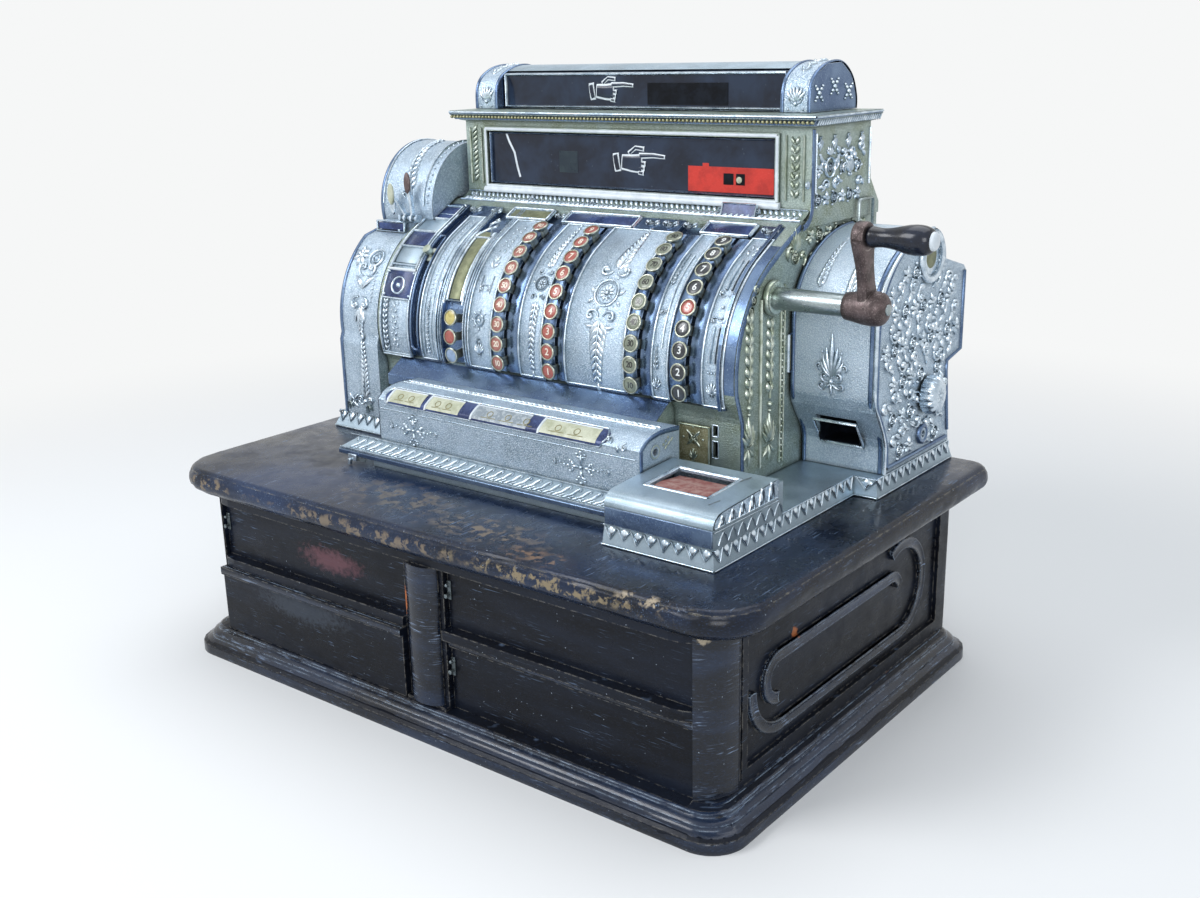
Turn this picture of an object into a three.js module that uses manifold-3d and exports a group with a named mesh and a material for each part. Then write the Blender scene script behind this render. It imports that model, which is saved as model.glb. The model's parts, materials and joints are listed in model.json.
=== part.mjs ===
// A crank-operated cash register on a wooden base with four drawers.
// Millimetres, x to the right, y to the back, z up, origin on the floor under the wooden base.
import * as THREE from "three";
import { mergeVertices } from "three/addons/utils/BufferGeometryUtils.js";
import Module from "manifold-3d";

const wasm = await Module();
wasm.setup();

// Fits
const fitGap = 0.3;
const runningGap = 0.5;
const overrun = 6;
const weld = 0.0001;

// Steps of round forms
const cornerSteps = 5;
const arcStep = 8;
const fluteSteps = 4;
const keySides = 12;
const rodSides = 20;

// Wooden base
const plinth = { halfWidth: 380, halfDepth: 266.5, cornerRadius: 38, height: 33 };
const plinthInsetShares = [0, 0, 0.12, 0.36, 0.42, 0.62, 0.7, 1];
const plinthHeightShares = [0, 0.34, 0.42, 0.5, 0.66, 0.76, 0.9, 1];
const carcass = { halfWidth: 353.5, halfDepth: 245, postRadius: 45, backRadius: 10, top: 197.7 };
const postGroove = { fromCorner: 24, width: 3, depth: 4 };
const pilaster = { halfWidth: 21, depth: 12, recess: 6 };
const bay = {
  inner: 28, outer: 330, back: 225, lowerFloor: 30, lowerTop: 110, upperFloor: 121, upperTop: 186,
};
const sidePanel = { front: -185, back: 215, bottom: 48, top: 184, depth: 5 };
const sideBand = { width: 12, height: 4, middle: 118, outerRadius: 51, innerRadius: 21 };
const sideBandEnds = { outerBack: 124, outerFront: -125, innerBack: 99, innerFront: -130 };
const sideBandTurns = { outerStart: 62, innerEnd: 160 };
const backPanel = { margin: 60, depth: 5 };
const slab = {
  halfWidth: 389, front: -262, back: 272, cornerRadius: 52, backRadius: 22, bottom: 198, top: 228,
};
const slabMoulding = { inset: 11 };
const slabInsetShares = [1, 0.75, 0.45, 0.18, 0, 0, 0.2, 0.32, 0.6];
const slabHeightShares = [0, 0.06, 0.15, 0.24, 0.42, 0.66, 0.86, 0.9, 1];

// Drawers
const drawer = {
  frontThickness: 22, sideGap: 1, boxGap: 6, wall: 9, floor: 6, boxDepth: 430, headroom: 9,
};
const drawerLip = { height: 9, depth: 3.5 };
const drawerFront = { recessed: -233, standing: -246 };

// Metal base plate with the printer's ledge and the paper box
const metalBase = { bottom: 228.3, top: 248, left: -354, right: 314, rightStep: 341, stepFront: 82 };
const metalBasePlan = { front: -41, back: 264, boxLeft: 187, boxFront: -181 };
const skirtSlope = 9;
const ledge = {
  left: -232, front: -139, back: -119, frontHeight: 244, backHeight: 257, undercut: 7, band: 4,
  slant: 18,
};
const paperBox = { left: 188, right: 311, front: -178, back: -66, rim: 267, wall: 4, floor: 3 };
const paperLid = { backRise: 18, shoulderRise: 13, shoulder: 15, wall: 3, hinge: 3.2 };
const paperLidTop = paperBox.rim + paperLid.backRise;
const paperLug = { width: 6, depth: 8 };
const paperWindow = { left: 211, right: 280, front: -141, back: -87 };

// Cabinet
const arc = { y: 96, z: 362, radius: 127, floorRadius: 121, innerRadius: 118, from: -14.5, to: 61.5 };
const cabinet = { left: -270.5, right: 238, cheek: 226, front: -19, back: 261, wall: 4, top: 502 };
const cabinetBend = { startHeight: 316, arcFrom: -8 };
const slopeEnd = { y: 93, shieldY: 84 };
const cabinetBack = { shoulder: 510, slopeY: 240, slopeZ: 537, topY: 236, topZ: 592 };
const displayCase = { left: -242, right: 240, front: 109, top: 598.5, fillet: 16 };
const displayWindow = { left: -206, right: 198, bottom: 524, top: 587 };
const displayFrame = { width: 5, depth: 2.5 };
const glass = { margin: 4, thickness: 3 };
const cornice = { left: -256, right: 252, front: 95, back: 240, height: 12.5 };
const corniceInsetShares = [1, 0.62, 0.5, 0.2, 0, 0];
const corniceHeightShares = [0, 0.1, 0.42, 0.5, 0.66, 1];
const apron = { left: -236, right: 158, front: -52.5, height: 313, bevel: 6 };
const lockPlate = { left: 165, right: 202, bottom: 268, top: 308, thickness: 2 };
const lockSlots = { left: 206, right: 211, bottom: 277, lowerTop: 293, upperBottom: 300, top: 310 };
const bushing = { radius: 17, length: 7 };

// Keyboard strips, from left to right
const dateStrip = { left: -266, right: -217 };
const beadStrip = { left: -199, right: -172 };
const leftRail = { left: -170, right: -164 };
const rightRail = { left: -130, right: -124 };
const clerkStrip = { left: -122, right: -85 };
const stripAB = { left: -45, right: -10 };
const broadStrip = { left: 21, right: 103 };
const stripCD = { left: 137, right: 159 };
const rightStrip = { left: 199, right: 226 };
const rib = { width: 4, height: 2.5 };
const sliderSlot = { left: -213, right: -203, from: -9, to: 57 };

// Keys
const keyCap = { radius: 9.5, rim: 3, thickness: 6, neck: 4.5, face: 140 };
const keyStem = { width: 3, breadth: 10, inner: 109 };
const keyPitch = 9.1;
const keyFirst = -7;
const keysInRow = 9;
const keyRows = { a: -67, b: 7, c: 118, d: 179 };
const keyStemShift = 3;
const clerkKeys = { x: -139, count: 3 };

// Date slider
const slider = { angle: 44, span: 8, knobRadius: 5.5, knobFace: 139, neckRadius: 3, foot: 113 };

// Left housing with its two levers
const housing = { left: -338, right: -271.2, front: -34, cheekHeight: 341, arcTo: 52 };
const drum = { y: 125, z: 496, radius: 75.5, from: -12, right: -248, margin: 1.5 };
const shelf = { y: 37, z: 468 };
const leverPin = { y: 39, z: 485, radius: 2.4, left: -294, right: -262, lug: 3.5, head: 5, headLength: 3 };
const lever = { hub: 6, thickness: 3, gap: 0.5, arm: 5, padHalf: { x: 5, y: 2.5, z: 13 } };
const longLever = { hubX: -271.5, tipX: -280, tipY: 43, tipZ: 527 };
const shortLever = { hubX: -283, tipX: -308, tipY: 41, tipZ: 513 };

// Printer cover
const cover = { left: -182, right: 187, front: -118.7, back: -53.2, faceTop: 303, top: 317, wall: 3.5 };
const coverDepthShares = [0, 0, 0.08, 0.2, 0.38, 0.6, 1];
const coverRiseShares = [0, 0.06, 0.43, 0.79, 0.96, 1, 0.86];
const coverWindows = { first: [-165, -114], second: [-106, -57], third: [-37, 40], fourth: [58, 132] };
const coverWindow = { bottom: 303.5, depthShare: 0.3 };
const coverKeyhole = { y: -94, z: 298, bore: 4, ring: 8, height: 0.6 };

// Slip printer on the right side
const slip = { left: 238.6, right: 336, foot: 105, waist: 77, back: 262 };
const slipHeights = { ogeeBottom: 274, ogeeTop: 330, bendStart: 408, ridge: 493 };
const slipRidge = { y: 197, backY: 232, backZ: 457 };
const slipBulge = { y: 286, top: 444, bottom: 348, inner: 251, foot: 331 };
const slipMouth = { left: 264, right: 311, bottom: 276, top: 307, depth: 60 };
const slipRing = { y: 193, z: 464, radius: 26, bore: 20, height: 4, depth: 12 };
const slipKnob = {
  y: 196, z: 316, radius: 22, length: 18, stub: 6, stubLength: 12, flutes: 14, fluteDepth: 2.2,
};
const slipKeyhole = { y: 190, z: 273, radius: 9, bore: 4, height: 3, depth: 10 };

// Crank
const crank = {
  y: 37, z: 436, shaft: 11.3, inner: 212, hubStart: 322, hubEnd: 363, hub: 17, button: 11,
  buttonEnd: 368,
};
const crankArm = { inner: 338.5, outer: 351.5, tipY: 21.6, tipZ: 506.3, boss: 14, root: 15, waist: 10 };
const handle = { end: 415, bore: 5, startRadius: 10, waistRadius: 9, bellyRadius: 14.5 };
const handleLengthShares = [0, 0.04, 0.3, 0.62, 0.85, 0.97, 1];
const handleBulgeShares = [0.1, 0.2, 0, 0.55, 1, 0.85, 0.6];
const crankCap = { radius: 10, length: 5 };

// Top sign
const sign = {
  left: -247, right: 222, front: 135, back: 235, bottom: 611.3, height: 49, endCap: 35, recess: 20,
};
const signDepthShares = [0, 0.01, 0.105, 0.35, 0.65, 0.88, 0.99, 1];
const signHeightShares = [0, 0.44, 0.76, 0.98, 1, 0.72, 0.3, 0];
const signWindowHeight = 42;

const finishes = {
  wood: { color: 0x1d1e24, roughness: 0.45, metalness: 0 },
  nickel: { color: 0x93abc2, roughness: 0.32, metalness: 0.85 },
  glass: { color: 0x26303c, roughness: 0.08, metalness: 0 },
  redKey: { color: 0xb9584a, roughness: 0.4, metalness: 0 },
  creamKey: { color: 0x8b917c, roughness: 0.4, metalness: 0 },
  blackKey: { color: 0x23262b, roughness: 0.35, metalness: 0 },
  yellowKey: { color: 0xc9ae5e, roughness: 0.4, metalness: 0 },
  blueKey: { color: 0x8ca0bb, roughness: 0.4, metalness: 0 },
  bronze: { color: 0x5f5050, roughness: 0.5, metalness: 0.7 },
  ebonite: { color: 0x14161c, roughness: 0.25, metalness: 0 },
};

const register = new THREE.Group();
const xAxis = new THREE.Vector3(1, 0, 0);
const yAxis = new THREE.Vector3(0, 1, 0);
const zAxis = new THREE.Vector3(0, 0, 1);

// A closed geometry as a solid that can be cut and joined.
function solid(geometry) {
  geometry.deleteAttribute("normal");
  geometry.deleteAttribute("uv");
  const merged = mergeVertices(geometry, weld);
  return new wasm.Manifold(
    new wasm.Mesh({
      numProp: 3,
      vertProperties: merged.attributes.position.array,
      triVerts: new Uint32Array(merged.index.array),
    }),
  );
}

function geometryOf(body) {
  const { numProp, vertProperties, triVerts } = body.getMesh();
  const geometry = new THREE.BufferGeometry();
  geometry.setAttribute("position", new THREE.BufferAttribute(vertProperties, numProp));
  geometry.setIndex(new THREE.BufferAttribute(triVerts, 1));
  const faceted = geometry.toNonIndexed();
  faceted.computeVertexNormals();
  return faceted;
}

function addPiece(name, body, finish) {
  const material = new THREE.MeshStandardMaterial(finishes[finish]);
  const piece = new THREE.Mesh(geometryOf(body), material);
  piece.name = name;
  register.add(piece);
  return piece;
}

function join(...bodies) {
  return bodies.reduce((whole, body) => whole.add(body));
}

function box(x0, x1, y0, y1, z0, z1) {
  const geometry = new THREE.BoxGeometry(x1 - x0, y1 - y0, z1 - z0);
  geometry.translate((x0 + x1) / 2, (y0 + y1) / 2, (z0 + z1) / 2);
  return solid(geometry);
}

// An outline of y and z pairs, carried along x.
function alongX(outline, x0, x1) {
  const shape = new THREE.Shape(outline.map(([y, z]) => new THREE.Vector2(y, z)));
  const geometry = new THREE.ExtrudeGeometry(shape, { depth: x1 - x0, bevelEnabled: false });
  const turn = new THREE.Matrix4().makeBasis(yAxis, zAxis, xAxis);
  geometry.applyMatrix4(turn.setPosition(x0, 0, 0));
  return solid(geometry);
}

// A cylinder or a cone along x.
function rod(x0, x1, y, z, radius0, radius1 = radius0, sides = rodSides) {
  const geometry = new THREE.CylinderGeometry(radius1, radius0, x1 - x0, sides);
  geometry.rotateZ(-Math.PI / 2);
  geometry.translate((x0 + x1) / 2, y, z);
  return solid(geometry);
}

// A body turned about an axis along x, from pairs of x and radius
function turned(pairs, y, z, sides = rodSides) {
  const geometry = new THREE.LatheGeometry(pairs.map(([x, r]) => new THREE.Vector2(r, x)), sides);
  geometry.rotateZ(-Math.PI / 2);
  geometry.translate(0, y, z);
  return solid(geometry);
}

// Level rings of x, y, z points, anticlockwise from above and stacked upward, closed by flat ends.
function loft(rings) {
  const count = rings[0].length;
  const indices = [];
  for (let level = 1; level < rings.length; level++) {
    for (let i = 0; i < count; i++) {
      const next = (i + 1) % count;
      const low = (level - 1) * count;
      const high = level * count;
      indices.push(low + i, low + next, high + next, low + i, high + next, high + i);
    }
  }
  const closeEnd = (level, facesUp) => {
    const ring = rings[level].map(([x, y]) => new THREE.Vector2(x, y));
    for (const face of THREE.ShapeUtils.triangulateShape(ring, [])) {
      const turnsUp = THREE.ShapeUtils.area(face.map((i) => ring[i])) > 0;
      const ordered = turnsUp === facesUp ? face : [...face].reverse();
      indices.push(...ordered.map((i) => level * count + i));
    }
  };
  closeEnd(0, false);
  closeEnd(rings.length - 1, true);
  const geometry = new THREE.BufferGeometry();
  geometry.setAttribute("position", new THREE.Float32BufferAttribute(rings.flat(2), 3));
  geometry.setIndex(indices);
  return solid(geometry);
}

function roundedPlan(halfWidth, front, back, frontRadius, backRadius, z) {
  const corners = [
    [halfWidth - frontRadius, front + frontRadius, frontRadius, -90],
    [halfWidth - backRadius, back - backRadius, backRadius, 0],
    [backRadius - halfWidth, back - backRadius, backRadius, 90],
    [frontRadius - halfWidth, front + frontRadius, frontRadius, 180],
  ];
  const ring = [];
  for (const [x, y, radius, start] of corners) {
    for (let step = 0; step <= cornerSteps; step++) {
      const angle = THREE.MathUtils.degToRad(start + (90 * step) / cornerSteps);
      ring.push([x + radius * Math.cos(angle), y + radius * Math.sin(angle), z]);
    }
  }
  return ring;
}

function rectangle(x0, x1, y0, y1, z) {
  return [[x0, y0, z], [x1, y0, z], [x1, y1, z], [x0, y1, z]];
}

// Points of an arc, or of an ellipse with its own rise, in the y-z plane.
// Angles are in degrees, 0 to the front and 90 upward.
function arcPoints(y, z, radius, from, to, rise = radius) {
  const steps = Math.max(1, Math.round(Math.abs(to - from) / arcStep));
  return Array.from({ length: steps + 1 }, (_, step) => {
    const angle = THREE.MathUtils.degToRad(from + ((to - from) * step) / steps);
    return [y - radius * Math.cos(angle), z + rise * Math.sin(angle)];
  });
}

// An ogee from one y-z point to another that starts and ends upright.
function ogee([y0, z0], [y1, z1], steps = cornerSteps) {
  return Array.from({ length: steps + 1 }, (_, step) => {
    const share = step / steps;
    return [y0 + (y1 - y0) * THREE.MathUtils.smoothstep(share, 0, 1), z0 + (z1 - z0) * share];
  });
}

// The keyboard's curve and the slope above it, at one radius, up to a given y.
function keyboardCurve(radius, endY, from = arc.from) {
  const points = arcPoints(arc.y, arc.z, radius, from, arc.to);
  const [y, z] = points[points.length - 1];
  const slope = Math.tan(THREE.MathUtils.degToRad(90 - arc.to));
  return [...points, [endY, z + (endY - y) * slope]];
}

function ribbon(points, width) {
  const side = (sign) =>
    points.map((point, i) => {
      const before = points[Math.max(0, i - 1)];
      const after = points[Math.min(points.length - 1, i + 1)];
      const along = new THREE.Vector2(after[0] - before[0], after[1] - before[1]).normalize();
      return [point[0] - (sign * along.y * width) / 2, point[1] + (sign * along.x * width) / 2];
    });
  return [...side(1), ...side(-1).reverse()];
}

// Wooden carcass: plinth, walls, posts, pilaster, rails and side panels
function makeCarcass() {
  const overhang = plinth.halfWidth - carcass.halfWidth;
  const plinthRings = plinthInsetShares.map((share, i) => {
    const inset = share * overhang;
    const radius = plinth.cornerRadius - inset / 2;
    const y = plinth.halfDepth - inset;
    return roundedPlan(
      plinth.halfWidth - inset,
      -y,
      y,
      radius,
      radius,
      plinthHeightShares[i] * plinth.height,
    );
  });
  const wallRing = (z) =>
    roundedPlan(
      carcass.halfWidth,
      -carcass.halfDepth,
      carcass.halfDepth,
      carcass.postRadius,
      carcass.backRadius,
      z,
    );
  let body = loft(plinthRings).add(loft([wallRing(bay.lowerFloor / 2), wallRing(carcass.top)]));
  const frontY = -carcass.halfDepth;
  for (const side of [-1, 1]) {
    const [x0, x1] = side > 0 ? [bay.inner, bay.outer] : [-bay.outer, -bay.inner];
    const cutFront = frontY - overrun;
    body = body.subtract(box(x0, x1, cutFront, bay.back, bay.lowerFloor, bay.lowerTop));
    body = body.subtract(box(x0, x1, cutFront, bay.back, bay.upperFloor, bay.upperTop));
    const grooveX = side * (carcass.halfWidth - postGroove.fromCorner + postGroove.width);
    const grooveY = frontY + carcass.postRadius + postGroove.width;
    const frontGroove = [grooveX - postGroove.width / 2, grooveX + postGroove.width / 2];
    const wallX = side * carcass.halfWidth;
    const wallCut = (depth, y0, y1, z0, z1) => {
      const edges = [wallX - side * depth, wallX + side * overrun].sort((a, b) => a - b);
      return box(...edges, y0, y1, z0, z1);
    };
    const low = plinth.height + overrun;
    const high = bay.upperTop;
    body = body.subtract(box(...frontGroove, cutFront, frontY + postGroove.depth, low, high));
    body = body.subtract(wallCut(postGroove.depth, grooveY, grooveY + postGroove.width, low, high));
    const { front, back, bottom, top, depth } = sidePanel;
    body = body.subtract(wallCut(depth, front, back, bottom, top));
    for (const path of sideBandPaths()) {
      const inner = wallX - side * depth;
      const edges = [inner - side * fitGap, inner + side * sideBand.height].sort((a, b) => a - b);
      body = body.add(alongX(ribbon(path, sideBand.width), ...edges));
    }
  }
  const { halfWidth, depth, recess } = pilaster;
  body = body.subtract(box(
    -bay.inner,
    bay.inner,
    frontY - overrun,
    frontY + recess,
    plinth.height,
    bay.upperTop,
  ));
  const column = new THREE.CylinderGeometry(1, 1, bay.upperTop - plinth.height, rodSides);
  column.rotateX(Math.PI / 2);
  column.scale(halfWidth, depth, 1);
  column.translate(0, frontY + recess, (bay.upperTop + plinth.height) / 2);
  body = body.add(solid(column));
  const backX = carcass.halfWidth - backPanel.margin;
  const backY = carcass.halfDepth;
  const { bottom, top } = sidePanel;
  return body.subtract(box(-backX, backX, backY - backPanel.depth, backY + overrun, bottom, top));
}

// The raised band on a side panel: an outer and an inner run that turn round each other's ends.
function sideBandPaths() {
  const { middle, outerRadius, innerRadius } = sideBand;
  const { outerBack, outerFront, innerBack, innerFront } = sideBandEnds;
  return [
    [
      ...arcPoints(outerBack, middle, outerRadius, sideBandTurns.outerStart, 270),
      ...arcPoints(outerFront, middle, outerRadius, -90, 0),
    ],
    [
      ...arcPoints(innerFront, middle, innerRadius, -90, 90),
      ...arcPoints(innerBack, middle, innerRadius, 90, sideBandTurns.innerEnd),
    ],
  ];
}

// Wooden top with its nosing
function makeSlab() {
  const rings = slabInsetShares.map((share, i) => {
    const inset = share * slabMoulding.inset;
    const z = slab.bottom + slabHeightShares[i] * (slab.top - slab.bottom);
    return roundedPlan(
      slab.halfWidth - inset,
      slab.front + inset,
      slab.back - inset,
      slab.cornerRadius - inset / 2,
      slab.backRadius - inset / 2,
      z,
    );
  });
  return loft(rings);
}

// A drawer: a front board, and an open box behind it
function makeDrawer(side, level, frontY, hasLip) {
  const [x0, x1] = side > 0 ? [bay.inner, bay.outer] : [-bay.outer, -bay.inner];
  const floorZ = level > 0 ? bay.upperFloor : bay.lowerFloor;
  const topZ = level > 0 ? bay.upperTop : bay.lowerTop;
  const { frontThickness, sideGap, boxGap, wall, floor, boxDepth, headroom } = drawer;
  const bottom = floorZ + fitGap;
  const left = x0 + sideGap;
  const right = x1 - sideGap;
  const front = box(left, right, frontY, frontY + frontThickness, bottom, topZ - sideGap);
  const tray = box(x0 + boxGap, x1 - boxGap, frontY + wall, frontY + boxDepth, bottom, topZ - headroom);
  const hollow = box(
    x0 + boxGap + wall,
    x1 - boxGap - wall,
    frontY + frontThickness,
    frontY + boxDepth - wall,
    bottom + floor,
    topZ + overrun,
  );
  let body = front.add(tray).subtract(hollow);
  if (hasLip) {
    const lipTop = topZ - sideGap;
    const lip = box(
      left,
      right,
      frontY - drawerLip.depth,
      frontY + fitGap,
      lipTop - drawerLip.height,
      lipTop,
    );
    body = body.add(lip);
  }
  return body;
}

// Metal base plate with a sloping skirt, the ledge before the printer and the walls of the paper box
function makeMetalBase() {
  const { bottom, top, left, right, rightStep, stepFront } = metalBase;
  const { front, back, boxLeft, boxFront } = metalBasePlan;
  const plan = (slope, z) => [
    [left + slope, front + slope, z],
    [cover.left, front + slope, z],
    [cover.left, cover.back, z],
    [boxLeft, cover.back, z],
    [boxLeft, boxFront + slope / 2, z],
    [right - slope / 2, boxFront + slope / 2, z],
    [right - slope / 2, stepFront + slope / 2, z],
    [rightStep - slope / 2, stepFront + slope / 2, z],
    [rightStep - slope / 2, back - slope / 2, z],
    [left + slope, back - slope / 2, z],
  ];
  let body = loft([plan(0, bottom), plan(skirtSlope, top)]);
  const ledgeOutline = [
    [cover.back + overrun, bottom],
    [cover.back + overrun, top],
    [ledge.back, top],
    [ledge.back, ledge.backHeight],
    [ledge.front, ledge.frontHeight],
    [ledge.front, ledge.frontHeight - ledge.band],
    [ledge.front + ledge.undercut, ledge.frontHeight - ledge.band],
    [ledge.front + ledge.undercut, bottom],
  ];
  const ledgeBody = alongX(ledgeOutline, cover.left, boxLeft + fitGap);
  const pointHeight = ledge.frontHeight - ledge.band;
  const tip = [
    [ledge.left, ledge.front, pointHeight],
    [cover.left + fitGap, ledge.front, pointHeight],
    [cover.left + fitGap, ledge.back, pointHeight],
    [ledge.left + ledge.slant, ledge.back, pointHeight],
  ];
  const tipTop = tip.map(([x, y]) => [x, y, y < ledge.back ? ledge.frontHeight : ledge.backHeight]);
  body = join(body, ledgeBody, loft([tip, tipTop]));
  const walls = box(
    paperBox.left,
    paperBox.right,
    paperBox.front,
    paperBox.back,
    top - fitGap,
    paperBox.rim,
  );
  const wellFloor = top + paperBox.floor;
  const well = box(
    paperBox.left + paperBox.wall,
    paperBox.right - paperBox.wall,
    paperBox.front + paperBox.wall,
    paperBox.back - paperBox.wall,
    wellFloor,
    paperBox.rim + overrun,
  );
  body = body.add(walls).subtract(well);
  const lugFront = paperBox.back + fitGap;
  const lugTop = paperLidTop - paperLid.hinge - fitGap;
  for (const x of [paperBox.left, paperBox.right - paperLug.width]) {
    body = body.add(box(x, x + paperLug.width, lugFront, lugFront + paperLug.depth, top - fitGap, lugTop));
  }
  return body;
}

// Paper box lid: a rounded front, a sloping top with a window, hinged on its back edge
function makePaperLid() {
  const { left, right, front, back, rim } = paperBox;
  const { shoulder, wall, hinge } = paperLid;
  const shoulderHeight = rim + paperLid.shoulderRise;
  const foot = rim + fitGap;
  const outline = (inset) => [
    [back - inset, foot],
    [back - inset, paperLidTop - inset],
    [front + shoulder, shoulderHeight - inset],
    [front + shoulder / 3, (foot + shoulderHeight * 2) / 3 - inset],
    [front + inset, foot],
  ];
  const shell = alongX(outline(0).reverse(), left, right);
  const inside = outline(wall);
  inside[0][1] -= overrun;
  inside[4][1] -= overrun;
  const hollow = alongX(inside.reverse(), left + wall, right - wall);
  const { left: x0, right: x1, front: y0, back: y1 } = paperWindow;
  const hingeZ = paperLidTop - hinge;
  const knuckle = rod(
    left + paperLug.width + fitGap,
    right - paperLug.width - fitGap,
    back,
    hingeZ,
    hinge,
    hinge,
    keySides,
  );
  return shell
    .subtract(hollow)
    .subtract(box(x0, x1, y0, y1, rim, paperLidTop + overrun))
    .add(knuckle);
}

// Cabinet: side cheeks, back, apron, display frame, cornice and the crank's bushing
function makeCabinet() {
  const bottom = metalBase.top + fitGap;
  const { left, right, cheek, front, back, wall, top } = cabinet;
  const outerRadius = arc.radius + runningGap;
  const startAngle = THREE.MathUtils.degToRad(cabinetBend.arcFrom);
  const bendEnd = [arc.y - outerRadius * Math.cos(startAngle), arc.z + outerRadius * Math.sin(startAngle)];
  const curve = keyboardCurve(outerRadius, slopeEnd.y, cabinetBend.arcFrom);
  const lowerOutline = [
    [front, bottom],
    ...ogee([front, cabinetBend.startHeight], bendEnd).slice(0, -1),
    ...curve,
    [back, top],
    [back, bottom],
  ];
  const { front: caseFront, fillet } = displayCase;
  const filletCurve = arcPoints(caseFront - fillet, top + fillet, fillet, -90, -180);
  const upperOutline = [
    ...filletCurve,
    [caseFront, displayCase.top],
    [cabinetBack.topY, displayCase.top],
    [cabinetBack.topY, cabinetBack.topZ],
    [cabinetBack.slopeY, cabinetBack.slopeZ],
    [back, cabinetBack.shoulder],
    [back, top - wall],
    [caseFront - fillet, top - wall],
  ];
  let body = alongX(lowerOutline.reverse(), left, right);
  body = body.add(alongX(upperOutline.reverse(), displayCase.left, displayCase.right));
  // The space behind the keyboard, open to the front for the shield and at the bottom
  const gapAngle = THREE.MathUtils.radToDeg(runningGap / arc.radius);
  const shieldFoot = keyboardCurve(arc.innerRadius - fitGap, slopeEnd.shieldY, arc.from - gapAngle);
  const shieldOuter = keyboardCurve(arc.radius + overrun, slopeEnd.shieldY, arc.from - gapAngle);
  const shieldEdge = keyboardCurve(arc.radius, slopeEnd.shieldY, arc.from - gapAngle)[0];
  const inside = [
    [front + wall, bottom - overrun],
    [front + wall, cabinetBend.startHeight],
    shieldFoot[0],
    ...shieldOuter,
    shieldFoot[shieldFoot.length - 1],
    [back - wall, shieldFoot[shieldFoot.length - 1][1]],
    [back - wall, bottom - overrun],
  ];
  body = body.subtract(alongX(inside.reverse(), left + wall, cheek + fitGap));
  // The apron under the keyboard
  const apronOutline = [
    [front + wall, apron.height - apron.bevel * 3],
    [apron.front, apron.height - apron.bevel * 2],
    [apron.front, apron.height],
    shieldEdge,
    shieldFoot[0],
    [front + wall, cabinetBend.startHeight],
  ];
  body = body.add(alongX(apronOutline.reverse(), apron.left, apron.right));
  // The display's room, its window and a raised frame round it
  const room = box(
    displayCase.left + wall,
    displayCase.right - wall,
    caseFront + wall,
    cabinetBack.topY - wall,
    top + wall,
    displayCase.top - wall,
  );
  const { left: x0, right: x1, bottom: z0, top: z1 } = displayWindow;
  const edge = displayFrame.width;
  const frame = box(
    x0 - edge,
    x1 + edge,
    caseFront - displayFrame.depth,
    caseFront + wall / 2,
    z0 - edge,
    z1 + edge,
  );
  body = body.add(frame).subtract(room);
  body = body.subtract(box(x0, x1, caseFront - overrun, caseFront + wall + overrun, z0, z1));
  // The cornice
  const corniceBottom = displayCase.top - fitGap;
  const rings = corniceInsetShares.map((share, i) => {
    const inset = (to, from) => to + share * (from - to);
    return rectangle(
      inset(cornice.left, displayCase.left),
      inset(cornice.right, displayCase.right),
      inset(cornice.front, displayCase.front),
      inset(cornice.back, cabinetBack.topY),
      corniceBottom + corniceHeightShares[i] * cornice.height,
    );
  });
  body = body.add(loft(rings));
  // The lock plate and the two slots beside it
  const plate = lockPlate;
  const plateBody = box(
    plate.left,
    plate.right,
    front - plate.thickness,
    front + fitGap,
    plate.bottom,
    plate.top,
  );
  body = body.add(plateBody);
  const slotCut = (z, zTop) => box(
    lockSlots.left,
    lockSlots.right,
    front - overrun,
    front + wall + overrun,
    z,
    zTop,
  );
  body = body.subtract(slotCut(lockSlots.bottom, lockSlots.lowerTop));
  body = body.subtract(slotCut(lockSlots.upperBottom, lockSlots.top));
  body = body.add(rod(right - wall, right + bushing.length, crank.y, crank.z, bushing.radius));
  const bore = crank.shaft + runningGap;
  return body.subtract(rod(cheek - overrun, right + bushing.length + overrun, crank.y, crank.z, bore));
}

// Where a key stands: a turn about the keyboard's centre line
function atAngle(geometry, x, angle) {
  geometry.rotateX(-THREE.MathUtils.degToRad(angle));
  geometry.translate(x, arc.y, arc.z);
  return geometry;
}

function barBox(halfWidth, outer, inner, halfBreadth) {
  const geometry = new THREE.BoxGeometry(halfWidth * 2, outer - inner, halfBreadth * 2);
  geometry.translate(0, -(outer + inner) / 2, 0);
  return geometry;
}

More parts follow.
